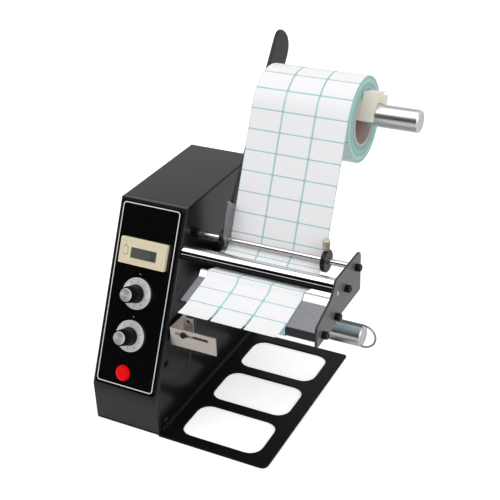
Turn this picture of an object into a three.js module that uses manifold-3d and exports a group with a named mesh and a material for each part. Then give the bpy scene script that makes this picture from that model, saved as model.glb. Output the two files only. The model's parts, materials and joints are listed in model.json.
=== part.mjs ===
// Desk-top label dispenser: a narrow sheet-metal housing with a sloping control panel, and a roll arm,
// a peeling deck and a take-up shaft that stand out from the housing's right side.
// Millimetres, +Z up, X to the right along the shafts, the front towards -Y.
// Pieces are placed from the housing's left front bottom corner; the whole is then moved so that the
// origin is the middle of the housing's underside.
import * as THREE from "three";
import { mergeVertices } from "three/addons/utils/BufferGeometryUtils.js";
import Module from "manifold-3d";

// Clearances and fineness
const seatGap = 0.3;
const runGap = 0.08;
const sideGap = 0.5;
const overrun = 1;
const weldTolerance = 0.0001;
const roundSides = 24;
const smallSides = 12;
const rollSides = 40;
const bendStep = Math.PI / 8;

// Housing and base
const housingWidth = 67.5;
const housingDepth = 201.6;
const housingHeight = 196.6;
const panelTopY = 75.3;
const plinthTop = 39.6;
const coverSheet = 1.2;
const wallSheet = 2;
const panelSheet = 1.5;
const panelReturn = 4;
const panelSeam = 0.4;
const baseSheet = 2;
const baseReach = 108.9;
const baseFrontReach = 1.5;
const baseRearInset = 16.6;
const baseRearY = housingDepth - baseRearInset;
const baseCorner = 6;
const baseRearCorner = 2.5;
const cutoutCount = 3;
const cutoutWidth = 80;
const cutoutBar = 11;
const cutoutFrontY = 10.2;
const cutoutRear = 11.2;
const cutoutMargin = 14.4;
const cutoutCorner = 12;
const baseWidth = housingWidth + baseReach;
const cutoutPitch = (baseRearY - cutoutRear - cutoutFrontY + cutoutBar) / cutoutCount;
const cutoutDepth = cutoutPitch - cutoutBar;

// Control panel: places run across from its left edge and up its slope
const overlaySheet = 0.8;
const overlayMargin = 2;
const overlayCorner = 2.5;
const counterLeft = 0.55;
const counterAcross = housingWidth / 2 - counterLeft;
const counterUp = 127.7;
const counterWidth = 48;
const counterHeight = 24;
const counterProud = 4;
const counterRim = 1.5;
const counterDepth = 34;
const counterCorner = 1.2;
const windowWidth = 26.2;
const windowHeight = 9.2;
const windowSheet = 0.9;
const windowRight = 1.4;
const windowRise = -1;
const buttonWidth = 4;
const buttonHeight = 7;
const buttonLength = 3.4;
const buttonTravel = 1;
const buttonProud = 0.6;
const buttonLeft = 17.6;
const knobLeft = 1.75;
const knobAcross = housingWidth / 2 - knobLeft;
const lengthKnobUp = 90.7;
const speedKnobUp = 51.5;
const dialRadius = 15;
const dialSheet = 1.8;
const dialChamfer = 0.5;
const gripBase = 8.6;
const gripTop = 7.4;
const gripHeight = 16.5;
const gripEdge = 0.6;
const capRadius = 6.5;
const capSheet = 1;
const capStem = 2.4;
const capStemLength = 3;
const knobShaft = 3;
const knobShaftTail = 7;
const potRadius = 8;
const potDepth = 10;
const potBush = 4.4;
const lampLeft = 3.55;
const lampAcross = housingWidth / 2 - lampLeft;
const lampUp = 16.6;
const lampRadius = 7.3;
const lampHeight = 5;
const lampSkirt = 1;
const lampBarrel = 5.4;
const lampDepth = 17;
const domeSteps = 4;

// Shafts and rods: places in Y and Z, all of them along X
const guideRodY = 88;
const guideRodDrop = 29.6;
const guideRodZ = housingHeight - guideRodDrop;
const guideRodRadius = 2.75;
const bossRadius = 4.5;
const bossLength = 4.5;
const rollerY = 65.5;
const rollerDrop = 37.6;
const rollerZ = housingHeight - rollerDrop;
const rollerRadius = 6.4;
const holdDownRadius = 2;
const holdDownGap = 0.45;
const holdDownOut = rollerRadius + holdDownGap + holdDownRadius;
const holdDownTurn = (9 * Math.PI) / 180;
const holdDownY = rollerY - holdDownOut * Math.cos(holdDownTurn);
const holdDownZ = rollerZ - holdDownOut * Math.sin(holdDownTurn);
const holdDownEnd = 1.2;
const holdDownSeat = 1.2;
const axleRadius = 3.2;
const tieFrontY = 18;
const tieFrontDrop = 54.6;
const tieFrontZ = housingHeight - tieFrontDrop;
const tieRearY = 44.5;
const tieRearDrop = 52.9;
const tieRearZ = housingHeight - tieRearDrop;
const tieRadius = 3;
const boltHead = 3.3;
const boltHeadLength = 5;
const boltSocket = 1.6;
const boltSocketDepth = 2.4;
const boltShank = 1.6;
const boltReach = 8;

// Label roll on its arm
const rollY = 178;
const rollRise = 64.4;
const rollZ = housingHeight + rollRise;
const rollRadius = 38.5;
const coreOuter = 23.4;
const coreInner = 21.4;
const rollShaftRise = 70.4;
const rollShaftZ = housingHeight + rollShaftRise;
const rollShaftRadius = 10;
const rollShaftReach = 175.5;
const rollShaftEnd = housingWidth + rollShaftReach;
const shaftChamfer = 1;
const armOut = 26;
const armX = housingWidth + armOut;
const armSheet = 3;
const armLean = (38 * Math.PI) / 180;
const armFrontReach = 11;
const armRearReach = 21;
const armTipReach = 65.5;
const armTipFrontRound = 11;
const armTipRearRound = 17;
const armFootDrop = 101.6;
const armFootZ = housingHeight - armFootDrop;
const armFootFrontY = 106.5;
const armFootRearY = 144;
const armFootRound = 6;
const armSpigot = 6;
const armSpigotProud = 1;
const armBend = 8;
const spacerRadius = 6;
const spacerLowDrop = 90.6;
const spacerLowZ = housingHeight - spacerLowDrop;
const spacerHighDrop = 64.6;
const spacerHighZ = housingHeight - spacerHighDrop;
const saddleWidth = 23;
const saddleDrop = 5.5;
const saddleHeight = 20;
const saddleLean = (16 * Math.PI) / 180;
const outerFlange = 11.5;
const outerTab = 3.5;
const outerTabHeight = 17.5;
const outerTabInset = 1;
const saddleReach = 9;

// Label stock
const webOut = 33.5;
const webLeft = housingWidth + webOut;
const webWidth = 91;
const webSheet = 0.5;
const linerFold = 13;
const labelCount = 3;
const labelWidth = 28.5;
const labelGap = 2;
const labelSheet = 0.3;
const labelHold = 2.5;
const labelCurlRadius = 60;
const labelCurl = (18 * Math.PI) / 180;
const labelCurlSteps = 6;
const webRight = webLeft + webWidth;

// Peeling deck and end plate
const deckSheet = 1.2;
const deckOut = 26.5;
const deckLeft = housingWidth + deckOut;
const lipY = 49.3;
const lipDrop = 43;
const lipZ = housingHeight - lipDrop;
const lipRadius = 2.8;
const kinkY = 42.7;
const kinkDrop = 41.8;
const kinkZ = housingHeight - kinkDrop;
const kinkRadius = 3;
const peelY = 12.6;
const peelDrop = 52.7;
const peelZ = housingHeight - peelDrop;
const peelRadius = 2;
const deckFlangeDrop = 58.4;
const deckFlangeZ = housingHeight - deckFlangeDrop;
const deckRearDrop = 49.6;
const deckRearZ = housingHeight - deckRearDrop;
const endPlateOut = 152;
const endPlateX = housingWidth + endPlateOut;
const endPlateSheet = 2;
const endNoseY = 6.5;
const endNoseTopDrop = 42.6;
const endNoseTopZ = housingHeight - endNoseTopDrop;
const endRearY = 99.5;
const endTopDrop = 19.1;
const endTopZ = housingHeight - endTopDrop;
const endBottomDrop = 57.6;
const endBottomZ = housingHeight - endBottomDrop;
const endNoseBottomDrop = 61.1;
const endNoseBottomZ = housingHeight - endNoseBottomDrop;
const endRiseY = 36;
const endRiseDrop = 32.6;
const endShoulderY = 46;
const endShoulderDrop = 19.6;
const endStepFrontY = 41;
const endStepRearY = 55;
const endCorner = 5;
const endSoftCorner = 2;
const endSlotY = 49.2;
const endSlotDrop = 33.4;
const endSlotZ = housingHeight - endSlotDrop;
const endSlotHeight = 4.4;
const endSlotWidth = 2;

// Side guides on the guide rod
const collarRadius = 10;
const collarLength = 4.2;
const leftGuidePlate = 1;
const thumbHead = 3.4;
const thumbHeadLength = 9.5;
const thumbNeck = 2.2;
const thumbShank = 1.5;
const thumbNeckLength = 0.9;
const thumbEdge = 0.5;
const leftThumbTurn = (155 * Math.PI) / 180;
const leftGuideCorners = [
  [4, -5.5],
  [9, 5],
  [16.3, 26.8],
  [3.4, 37],
  [-3.6, 24],
  [-8.8, 6.7],
  [-7, -4],
];
const guideRound = 1.5;

// Take-up drive
const takeupInset = 63.1;
const takeupY = housingDepth - takeupInset;
const takeupZ = 63.3;
const takeupRadius = 10.5;
const takeupReach = 143.5;
const takeupEnd = housingWidth + takeupReach;
const driveShaft = 4;
const driveShaftReach = 14;
const bearingRadius = 9;
const bearingFlange = 12;
const bearingFlangeSheet = 1.5;
const gearboxRadius = 30;
const gearboxLength = 21;
const motorRadius = 25;
const motorLength = 25;
const clipWire = 1;
const clipLegOut = 36.5;
const clipLegStart = housingWidth + clipLegOut;
const clipSides = 6;
const clipSteps = 42;

// Label sensor on its bracket
const bracketOut = 2.5;
const bracketX = housingWidth + bracketOut;
const bracketSheet = 1.5;
const bracketFrontY = 28.5;
const bracketLegEndY = 60;
const bracketReach = 48.5;
const bracketEndX = housingWidth + bracketReach;
const bracketBottomDrop = 113.1;
const bracketBottomZ = housingHeight - bracketBottomDrop;
const bracketTopDrop = 94.6;
const bracketTopZ = housingHeight - bracketTopDrop;
const bracketFootRadius = 4;
const bracketFootY = 53;
const bracketFootPitch = 14;
const slotDrop = 99.8;
const slotZ = housingHeight - slotDrop;
const slotStartOut = 7.5;
const slotStartX = housingWidth + slotStartOut;
const slotEndOut = 41;
const slotEndX = housingWidth + slotEndOut;
const slotWidth = 3;
const sensorOut = 15.9;
const sensorX = housingWidth + sensorOut;
const sensorWidth = 9.8;
const sensorTopDrop = 87.6;
const sensorTopZ = housingHeight - sensorTopDrop;
const sensorFootDrop = 105.1;
const sensorFootZ = housingHeight - sensorFootDrop;
const sensorPlateY = 38;
const sensorSheet = 1.2;
const sensorDepth = 7;
const sensorHeadWidth = 8;
const sensorHeadBottomDrop = 100.6;
const sensorHeadBottomZ = housingHeight - sensorHeadBottomDrop;
const sensorHeadTopDrop = 1;
const sensorLegTopDrop = 96.6;
const sensorLegTopZ = housingHeight - sensorLegTopDrop;
const sensorScrewShank = 1.2;
const sensorEyeRadius = 1.8;
const sensorEyeDrop = 3.6;
const sensorScrewHead = 3;
const sensorScrewHeadLength = 1.8;
const cableExitY = 23;
const cableExitDrop = 130.7;
const cableExitZ = housingHeight - cableExitDrop;
const cableStops = [
  [15.6, 41.8, 112.6],
  [14.8, 39, 126.6],
  [14.1, 36.5, 136.6],
  [11.5, 33.8, 141.2],
  [7.5, 30.4, 141.7],
  [5.1, 26.6, 138.2],
  [3.9, 23.8, 133],
  [1.9, 23, 130.7],
  [-2.5, 23, 130.7],
  [-7.5, 23, 130.7],
];
const cableRadius = 1.1;
const cableSides = 6;
const cableSteps = 26;
const cableHoleGap = 1.2;

// Inside the housing and on its rear
const boardInset = 83.6;
const boardY = housingDepth - boardInset;
const boardDrop = 92.6;
const boardZ = housingHeight - boardDrop;
const boardWidth = 68;
const boardHeight = 76;
const boardSheet = 1.6;
const boardStandoff = 6;
const standoffRadius = 3;
const standoffMargin = 5;
const transformerWidth = 40;
const transformerY = 40;
const transformerDepth = 46;
const transformerHeight = 36;
const coilOverhang = 6;
const inletRight = 6.25;
const inletAcross = housingWidth / 2 + inletRight;
const inletWidth = 34;
const inletHeight = 58;
const inletBottomZ = 14;
const inletFlange = 2.4;
const inletBodyMargin = 3;
const inletDepth = 24;
const socketWidth = 24.5;
const socketHeight = 16.5;
const socketDepth = 15;
const socketBottomMargin = 5.5;
const rockerRadius = 8;
const rockerLength = 13;
const rockerProud = 1.4;
const rockerDip = 1.1;
const rockerPivotDepth = 1;
const rockerRest = (-10 * Math.PI) / 180;
const rockerTopMargin = 12.5;
const pinRadius = 1;
const pinLength = 1.5;
const chipHeights = [9, 6, 8];
const chipSize = 15;
const chipPitch = 20;
const chipMargin = 8;

const wasm = await Module();
wasm.setup();

// Solids and booleans

function facingOut(geometry) {
  const place = geometry.getAttribute("position");
  const index = geometry.index;
  const corners = [new THREE.Vector3(), new THREE.Vector3(), new THREE.Vector3()];
  let volume = 0;
  for (let i = 0; i < index.count; i += 3) {
    corners.forEach((corner, k) => corner.fromBufferAttribute(place, index.getX(i + k)));
    volume += corners[0].dot(corners[1].clone().cross(corners[2]));
  }
  if (volume < 0) {
    for (let i = 0; i < index.count; i += 3) {
      const first = index.getX(i);
      index.setX(i, index.getX(i + 1));
      index.setX(i + 1, first);
    }
    geometry.computeVertexNormals();
  }
  return geometry;
}

function welded(geometry) {
  const bare = new THREE.BufferGeometry();
  const source = geometry.index ? geometry.toNonIndexed() : geometry;
  bare.setAttribute("position", source.getAttribute("position"));
  return facingOut(mergeVertices(bare, weldTolerance));
}

function solidOf(geometry) {
  const merged = welded(geometry);
  const mesh = new wasm.Mesh({
    numProp: 3,
    vertProperties: merged.getAttribute("position").array,
    triVerts: new Uint32Array(merged.index.array),
  });
  return new wasm.Manifold(mesh);
}

function geometryOf(solid) {
  const mesh = solid.getMesh();
  const geometry = new THREE.BufferGeometry();
  geometry.setAttribute("position", new THREE.BufferAttribute(mesh.vertProperties, 3));
  geometry.setIndex(new THREE.BufferAttribute(mesh.triVerts, 1));
  geometry.computeVertexNormals();
  return geometry;
}

function joined(...geometries) {
  return geometryOf(geometries.map(solidOf).reduce((whole, next) => whole.add(next)));
}

function cut(body, ...tools) {
  return geometryOf(tools.map(solidOf).reduce((rest, tool) => rest.subtract(tool), solidOf(body)));
}

function common(one, other) {
  return geometryOf(solidOf(one).intersect(solidOf(other)));
}

// Shapes

function box(low, high) {
  const size = high.map((value, i) => value - low[i]);
  const geometry = new THREE.BoxGeometry(...size);
  geometry.translate(...high.map((value, i) => (value + low[i]) / 2));
  return geometry;
}

// A turned piece: pairs of place along the axis and radius, the axis along +Z
function turnedZ(profile, sides = roundSides) {
  const points = profile.map(([along, radius]) => new THREE.Vector2(radius, along));
  const geometry = new THREE.LatheGeometry(points, sides);
  geometry.rotateX(Math.PI / 2);
  return facingOut(geometry);
}

// The same with its axis along +X through the point (y, z)
function turnedX(profile, y, z, sides = roundSides) {
  const geometry = turnedZ(profile, sides);
  geometry.rotateY(Math.PI / 2);
  geometry.translate(0, y, z);
  return geometry;
}

function rodX(start, end, radius, y, z, sides = roundSides) {
  const profile = [[start, 0], [start, radius], [end, radius], [end, 0]];
  return turnedX(profile, y, z, sides);
}

function rodZ(start, end, radius, x, y, sides = roundSides) {
  const geometry = turnedZ([[start, 0], [start, radius], [end, radius], [end, 0]], sides);
  geometry.translate(x, y, 0);
  return geometry;
}

function rodY(start, end, radius, x, z, sides = smallSides) {
  const geometry = turnedZ([[start, 0], [start, radius], [end, radius], [end, 0]], sides);
  geometry.rotateX(-Math.PI / 2);
  geometry.translate(x, 0, z);
  return geometry;
}

function ringX(start, end, inner, outer, y, z, sides = roundSides) {
  const profile = [[start, inner], [start, outer], [end, outer], [end, inner], [start, inner]];
  return turnedX(profile, y, z, sides);
}

// The bore whose flats clear a faceted shaft that turns in it
function boreFor(radius, sides = roundSides) {
  return (radius + runGap) / Math.cos(Math.PI / sides);
}

// A closed outline of corners [u, v, fillet]; a fillet is limited by its shorter side
function outline(corners) {
  const points = corners.flatMap(([u, v, fillet = 0], i) => {
    const here = new THREE.Vector2(u, v);
    const back = new THREE.Vector2(...corners.at(i - 1).slice(0, 2)).sub(here);
    const ahead = new THREE.Vector2(...corners[(i + 1) % corners.length].slice(0, 2)).sub(here);
    const shorter = Math.min(back.length(), ahead.length());
    back.normalize();
    ahead.normalize();
    const half = Math.acos(THREE.MathUtils.clamp(back.dot(ahead), -1, 1)) / 2;
    const radius = Math.min(fillet, (shorter / 2) * Math.tan(half));
    if (radius === 0) return [here];
    const inward = back.clone().add(ahead).normalize();
    const centre = here.clone().addScaledVector(inward, radius / Math.sin(half));
    const start = here.clone().addScaledVector(back, radius / Math.tan(half)).sub(centre);
    const turn = Math.sign(ahead.cross(back)) * (Math.PI - half - half);
    const steps = Math.ceil(Math.abs(turn) / bendStep);
    const angle = (k) => start.angle() + (turn * k) / steps;
    return Array.from({ length: steps + 1 }, (_, k) => pointAt(centre, radius, angle(k)));
  });
  return new THREE.Shape(points);
}

function pointAt(centre, radius, angle) {
  return new THREE.Vector2(centre.x + radius * Math.cos(angle), centre.y + radius * Math.sin(angle));
}

// A round hole whose flats lie at the radius
function roundHole(u, v, radius, sides = smallSides) {
  const centre = new THREE.Vector2(u, v);
  const reach = radius / Math.cos(Math.PI / sides);
  return new THREE.Path(
    Array.from({ length: sides }, (_, i) => pointAt(centre, reach, (2 * Math.PI * i) / sides)),
  );
}

function rectangle(u0, v0, u1, v1, fillet = 0) {
  return outline([[u0, v0, fillet], [u1, v0, fillet], [u1, v1, fillet], [u0, v1, fillet]]);
}

function extruded(shape, depth) {
  return new THREE.ExtrudeGeometry(shape, { depth, bevelEnabled: false });
}

// A plate square to Z, drawn in X and Y
function plateZ(shape, z0, z1) {
  const geometry = extruded(shape, z1 - z0);
  geometry.translate(0, 0, z0);
  return geometry;
}

// A plate square to X, drawn in Y and Z
function plateX(shape, x0, x1) {
  const geometry = extruded(shape, x1 - x0);
  const across = new THREE.Vector3(0, 1, 0);
  const up = new THREE.Vector3(0, 0, 1);
  geometry.applyMatrix4(new THREE.Matrix4().makeBasis(across, up, new THREE.Vector3(1, 0, 0)));
  geometry.translate(x0, 0, 0);
  return geometry;
}

// A plate square to Y, drawn in X and Z
function plateY(shape, y0, y1) {
  const geometry = extruded(shape, y1 - y0);
  const across = new THREE.Vector3(1, 0, 0);
  const up = new THREE.Vector3(0, 0, 1);
  geometry.applyMatrix4(new THREE.Matrix4().makeBasis(across, up, new THREE.Vector3(0, -1, 0)));
  geometry.translate(0, y1, 0);
  return geometry;
}

// A strip's route in Y and Z past round stops, each passed turning left (1) or right (-1)
function routePoints(stops, offset) {
  const reach = stops.map(({ radius = 0, turn = 1 }) => turn * radius - offset);
  const headings = stops.slice(1).map((stop, i) => {
    const run = stop.y - stops[i].y;
    const rise = stop.z - stops[i].z;
    return Math.atan2(rise, run) - Math.asin((reach[i + 1] - reach[i]) / Math.hypot(run, rise));
  });
  return stops.flatMap((stop, i) => {
    const arriving = headings[Math.max(i - 1, 0)];
    const leaving = headings[Math.min(i, headings.length - 1)];
    const bend = Math.atan2(Math.sin(leaving - arriving), Math.cos(leaving - arriving));
    const steps = Math.ceil(Math.abs(bend) / bendStep);
    return Array.from({ length: steps + 1 }, (_, k) => {
      const heading = arriving + (steps ? (bend * k) / steps : 0);
      return [stop.y + reach[i] * Math.sin(heading), stop.z - reach[i] * Math.cos(heading)];
    });
  });
}

function stripX(stops, sheet, x0, x1) {
  const left = routePoints(stops, sheet / 2);
  const right = routePoints(stops, -sheet / 2).reverse();
  return plateX(new THREE.Shape([...left, ...right].map(([y, z]) => new THREE.Vector2(y, z))), x0, x1);
}

// Finishes

function finish(color, roughness, metalness) {
  return new THREE.MeshStandardMaterial({ color, roughness, metalness });
}

const blackPaint = finish(0x2a2a2b, 0.45, 0.2);
const greyPaint = finish(0x4c4c4e, 0.45, 0.3);
const glossBlack = finish(0x0c0c0d, 0.15, 0);
const creamPlastic = finish(0xe9e2c8, 0.45, 0);
const darkGlass = finish(0x6f7468, 0.15, 0);
const silverDial = finish(0xc9cacc, 0.3, 0.9);
const blackPlastic = finish(0x1b1b1c, 0.5, 0);
const redLens = finish(0xe60f1c, 0.2, 0);
const brightSteel = finish(0xd5d3d2, 0.2, 1);
const chrome = finish(0xe8e8ea, 0.08, 1);
const aluminium = finish(0xc6c7c9, 0.3, 1);
const deckSteel = finish(0xb6b2b8, 0.25, 1);
const plateGrey = finish(0x77777a, 0.4, 0.5);
const labelPaper = finish(0xf4f4f5, 0.6, 0);
const linerPaper = finish(0x9cc9c6, 0.6, 0);
const cardboard = finish(0xb39a93, 0.9, 0);
const brassSteel = finish(0xb9b3a3, 0.3, 1);
const boltBlack = finish(0x222124, 0.4, 0.6);
const boardGreen = finish(0x2f6b3a, 0.5, 0);
const bronze = finish(0xa9793f, 0.4, 1);

const machine = new THREE.Group();
machine.position.set(-housingWidth / 2, -housingDepth / 2, 0);

function add(name, geometry, material, parent = machine) {
  const mesh = new THREE.Mesh(geometry, material);
  mesh.name = name;
  parent.add(mesh);
  return mesh;
}

// The sloping front, followed at a distance behind its outer face, from the base up to a height
const panelAngle = Math.atan2(housingHeight - plinthTop, panelTopY);
const panelLength = Math.hypot(housingHeight - plinthTop, panelTopY);

function frontLine(behind, bottom, top) {
  const bendRun = (behind - behind * Math.sin(panelAngle)) / Math.cos(panelAngle);
  const bendZ = plinthTop - behind * Math.cos(panelAngle) + bendRun * Math.sin(panelAngle);
  const topRun = (top - plinthTop + behind * Math.cos(panelAngle)) / Math.sin(panelAngle);
  const topY = behind * Math.sin(panelAngle) + topRun * Math.cos(panelAngle);
  return [[behind, bottom], [behind, bendZ], [topY, top]];
}

const panelFrame = new THREE.Group();
panelFrame.position.set(0, 0, plinthTop);
panelFrame.rotation.set(panelAngle, 0, 0);
machine.add(panelFrame);
panelFrame.updateMatrix();

const overlayTop = seatGap + overlaySheet;
const sideBehind = panelReturn + panelSeam;

// Base plate: one sheet under the housing and out to the right, with windows that lighten it
function basePlate() {
  const right = baseWidth;
  const shape = outline([
    [0, 0],
    [housingWidth, 0],
    [housingWidth, -baseFrontReach],
    [right, -baseFrontReach, baseCorner],
    [right, baseRearY, baseRearCorner],
    [housingWidth, baseRearY],
    [housingWidth, housingDepth],
    [0, housingDepth],
  ]);
  const cutoutRight = right - cutoutMargin;
  for (let i = 0; i < cutoutCount; i++) {
    const front = cutoutFrontY + i * cutoutPitch;
    const rear = front + cutoutDepth;
    shape.holes.push(rectangle(cutoutRight - cutoutWidth, front, cutoutRight, rear, cutoutCorner));
  }
  return plateZ(shape, 0, baseSheet);
}
add("base_plate", basePlate(), blackPaint);

// Rear fittings: places shared by the cover's cut-outs and the pieces in them
const inletLeft = inletAcross - inletWidth / 2;
const inletTop = inletBottomZ + inletHeight;
const inletBody = [
  inletLeft + inletBodyMargin,
  inletBottomZ + inletBodyMargin,
  inletLeft + inletWidth - inletBodyMargin,
  inletTop - inletBodyMargin,
];

// Cover: the left side, top and rear, folded from one sheet
function housingCover() {
  const coverOutline = outline([
    ...frontLine(sideBehind, baseSheet, housingHeight),
    [housingDepth, housingHeight],
    [housingDepth, baseSheet],
  ]);
  const hollow = outline([
    ...frontLine(sideBehind - overrun, baseSheet - overrun, housingHeight - coverSheet),
    [housingDepth - coverSheet, housingHeight - coverSheet],
    [housingDepth - coverSheet, baseSheet - overrun],
  ]);
  const [left, bottom, right, top] = inletBody;
  const opening = rectangle(left - seatGap, bottom - seatGap, right + seatGap, top + seatGap);
  return cut(
    plateX(coverOutline, 0, housingWidth),
    plateX(hollow, coverSheet, housingWidth + overrun),
    plateY(opening, housingDepth - coverSheet - overrun, housingDepth + overrun),
  );
}
add("housing_cover", housingCover(), blackPaint);

// Side wall: the plate that carries the whole mechanism
const wallInner = housingWidth - wallSheet;

function sideWall() {
  const top = housingHeight - coverSheet - panelSeam;
  const rear = housingDepth - coverSheet - panelSeam;
  const shape = outline([...frontLine(sideBehind, baseSheet, top), [rear, top], [rear, baseSheet]]);
  const hole = (radius, y, z) =>
    rodX(wallInner - overrun, housingWidth + overrun, radius + seatGap, y, z);
  return cut(
    plateX(shape, wallInner, housingWidth),
    hole(bearingRadius, takeupY, takeupZ),
    hole(cableRadius + cableHoleGap, cableExitY, cableExitZ),
    hole(boltShank, guideRodY, guideRodZ),
    hole(boltShank, rollerY, rollerZ),
  );
}
add("side_wall", sideWall(), blackPaint);

// Front panel: the plinth and the sloping face in one folded tray, pierced for the controls
function panelHole(across, up, radius) {
  const geometry = rodZ(-panelSheet - overrun, overrun, radius, across, up);
  return geometry.applyMatrix4(panelFrame.matrix);
}

const counterBack = [
  counterAcross - counterWidth / 2 + counterRim,
  counterUp - counterHeight / 2 + counterRim,
  counterAcross + counterWidth / 2 - counterRim,
  counterUp + counterHeight / 2 - counterRim,
];
const [counterX0, counterY0, counterX1, counterY1] = counterBack;
const counterOpening = [counterX0 - seatGap, counterY0 - seatGap, counterX1 + seatGap, counterY1 + seatGap];

function frontPanel() {
  const top = housingHeight - panelSheet;
  const outer = outline([
    ...frontLine(0, baseSheet, housingHeight),
    ...frontLine(panelReturn, baseSheet, housingHeight).reverse(),
  ]);
  const inner = outline([
    ...frontLine(panelSheet, baseSheet - overrun, top),
    ...frontLine(panelReturn + overrun, baseSheet - overrun, top).reverse(),
  ]);
  const window = plateZ(rectangle(...counterOpening), -panelSheet - overrun, overrun);
  return cut(
    plateX(outer, 0, housingWidth),
    plateX(inner, panelSheet, housingWidth - panelSheet),
    window.applyMatrix4(panelFrame.matrix),
    panelHole(knobAcross, lengthKnobUp, potBush + seatGap),
    panelHole(knobAcross, speedKnobUp, potBush + seatGap),
    panelHole(lampAcross, lampUp, lampBarrel + seatGap),
  );
}
add("front_panel", frontPanel(), greyPaint);

// Overlay: the printed plate that covers the sloping face
function panelOverlay() {
  const right = housingWidth - overlayMargin;
  const shape = rectangle(overlayMargin, overlayMargin, right, panelLength - overlayMargin, overlayCorner);
  shape.holes.push(rectangle(...counterOpening));
  for (const [across, up, radius] of [
    [knobAcross, lengthKnobUp, potBush],
    [knobAcross, speedKnobUp, potBush],
    [lampAcross, lampUp, lampBarrel],
  ]) {
    shape.holes.push(roundHole(across, up, radius + seatGap));
  }
  return plateZ(shape, seatGap, overlayTop);
}
add("panel_overlay", panelOverlay(), glossBlack, panelFrame);

// Counter: a snap-in panel meter with a window and one reset button
const counterSeat = overlayTop + seatGap;
const counterFace = counterSeat + counterProud;
const buttonX = counterAcross - buttonLeft;
const windowX = counterAcross + windowRight;
const windowY = counterUp + windowRise;

function centred(x, y, width, height, grow = 0) {
  const halfWidth = width / 2 + grow;
  const halfHeight = height / 2 + grow;
  return [x - halfWidth, y - halfHeight, x + halfWidth, y + halfHeight];
}

function counterBody() {
  const bezel = rectangle(...centred(counterAcross, counterUp, counterWidth, counterHeight), counterCorner);
  const windowPocket = rectangle(...centred(windowX, windowY, windowWidth, windowHeight, seatGap));
  const buttonWell = rectangle(...centred(buttonX, counterUp, buttonWidth, buttonHeight, seatGap));
  const wellDepth = buttonLength - buttonProud + buttonTravel + seatGap;
  return cut(
    joined(
      plateZ(bezel, counterSeat, counterFace),
      plateZ(rectangle(...counterBack), -counterDepth, counterSeat + overrun),
    ),
    plateZ(windowPocket, counterFace - windowSheet - seatGap, counterFace + overrun),
    plateZ(buttonWell, counterFace - wellDepth, counterFace + overrun),
  );
}
add("counter_body", counterBody(), creamPlastic, panelFrame);

const windowPane = rectangle(...centred(windowX, windowY, windowWidth, windowHeight));
add("counter_window", plateZ(windowPane, counterFace - windowSheet, counterFace), darkGlass, panelFrame);

const buttonShape = rectangle(...centred(buttonX, counterUp, buttonWidth, buttonHeight), counterCorner);
const buttonTop = counterFace + buttonProud;
add("counter_button", plateZ(buttonShape, buttonTop - buttonLength, buttonTop), creamPlastic, panelFrame);

// Knobs: a dial, a grip with its shaft, and a bright cap turn together on a potentiometer
const dialTop = overlayTop + seatGap + dialSheet;
const gripSeat = dialTop + seatGap;
const gripFace = gripSeat + gripHeight;
const capSeat = gripFace + seatGap;
const potTop = -panelSheet - seatGap;
const shaftFoot = -knobShaftTail;

function dial() {
  const inner = knobShaft + seatGap;
  const bottom = overlayTop + seatGap;
  return turnedZ([
    [bottom, inner],
    [bottom, dialRadius],
    [dialTop - dialChamfer, dialRadius],
    [dialTop, dialRadius - dialChamfer],
    [dialTop, inner],
    [bottom, inner],
  ]);
}

function grip() {
  const wellRadius = capStem + seatGap;
  const wellFloor = gripFace - capStemLength - seatGap;
  return turnedZ([
    [shaftFoot, 0],
    [shaftFoot, knobShaft],
    [gripSeat, knobShaft],
    [gripSeat, gripBase],
    [gripFace - gripEdge, gripTop],
    [gripFace, gripTop - gripEdge],
    [gripFace, wellRadius],
    [wellFloor, wellRadius],
    [wellFloor, 0],
  ]);
}

function cap() {
  const top = capSeat + capSheet;
  return turnedZ([
    [gripFace - capStemLength, 0],
    [gripFace - capStemLength, capStem],
    [capSeat, capStem],
    [capSeat, capRadius],
    [top, capRadius],
    [top, 0],
  ]);
}

function potentiometer() {
  const bore = boreFor(knobShaft);
  const floor = shaftFoot - seatGap;
  const bottom = potTop - potDepth;
  return turnedZ([
    [bottom, 0],
    [bottom, potRadius],
    [potTop, potRadius],
    [potTop, potBush],
    [overlayTop, potBush],
    [overlayTop, bore],
    [floor, bore],
    [floor, 0],
  ]);
}

for (const [name, up] of [["length", lengthKnobUp], ["speed", speedKnobUp]]) {
  const knob = new THREE.Group();
  knob.position.set(knobAcross, up, 0);
  panelFrame.add(knob);
  add(`${name}_dial`, dial(), silverDial, knob);
  add(`${name}_grip`, grip(), blackPlastic, knob);
  add(`${name}_cap`, cap(), silverDial, knob);
  add(`${name}_pot`, potentiometer(), brightSteel, knob);
}

// Power lamp: a domed lens on a barrel that passes through the panel
function powerLamp() {
  const seat = overlayTop + seatGap;
  const dome = Array.from({ length: domeSteps }, (_, i) => {
    const turn = (Math.PI / 2) * (i / domeSteps);
    return [seat + lampSkirt + (lampHeight - lampSkirt) * Math.sin(turn), lampRadius * Math.cos(turn)];
  });
  return turnedZ([
    [-lampDepth, 0],
    [-lampDepth, lampBarrel],
    [seat, lampBarrel],
    [seat, lampRadius],
    ...dome,
    [seat + lampHeight, 0],
  ]);
}
const lamp = add("power_lamp", powerLamp(), redLens, panelFrame);
lamp.position.set(lampAcross, lampUp, 0);

// A rod between the side wall and the end plate, drilled at both ends for its bolts
const boltBore = boltShank + seatGap;
const boreDepth = boltReach + seatGap;

function drilledRod(start, end, radius, y, z) {
  return turnedX(
    [
      [start + boreDepth, 0],
      [start + boreDepth, boltBore],
      [start, boltBore],
      [start, radius],
      [end, radius],
      [end, boltBore],
      [end - boreDepth, boltBore],
      [end - boreDepth, 0],
    ],
    y,
    z,
    smallSides,
  );
}

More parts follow.
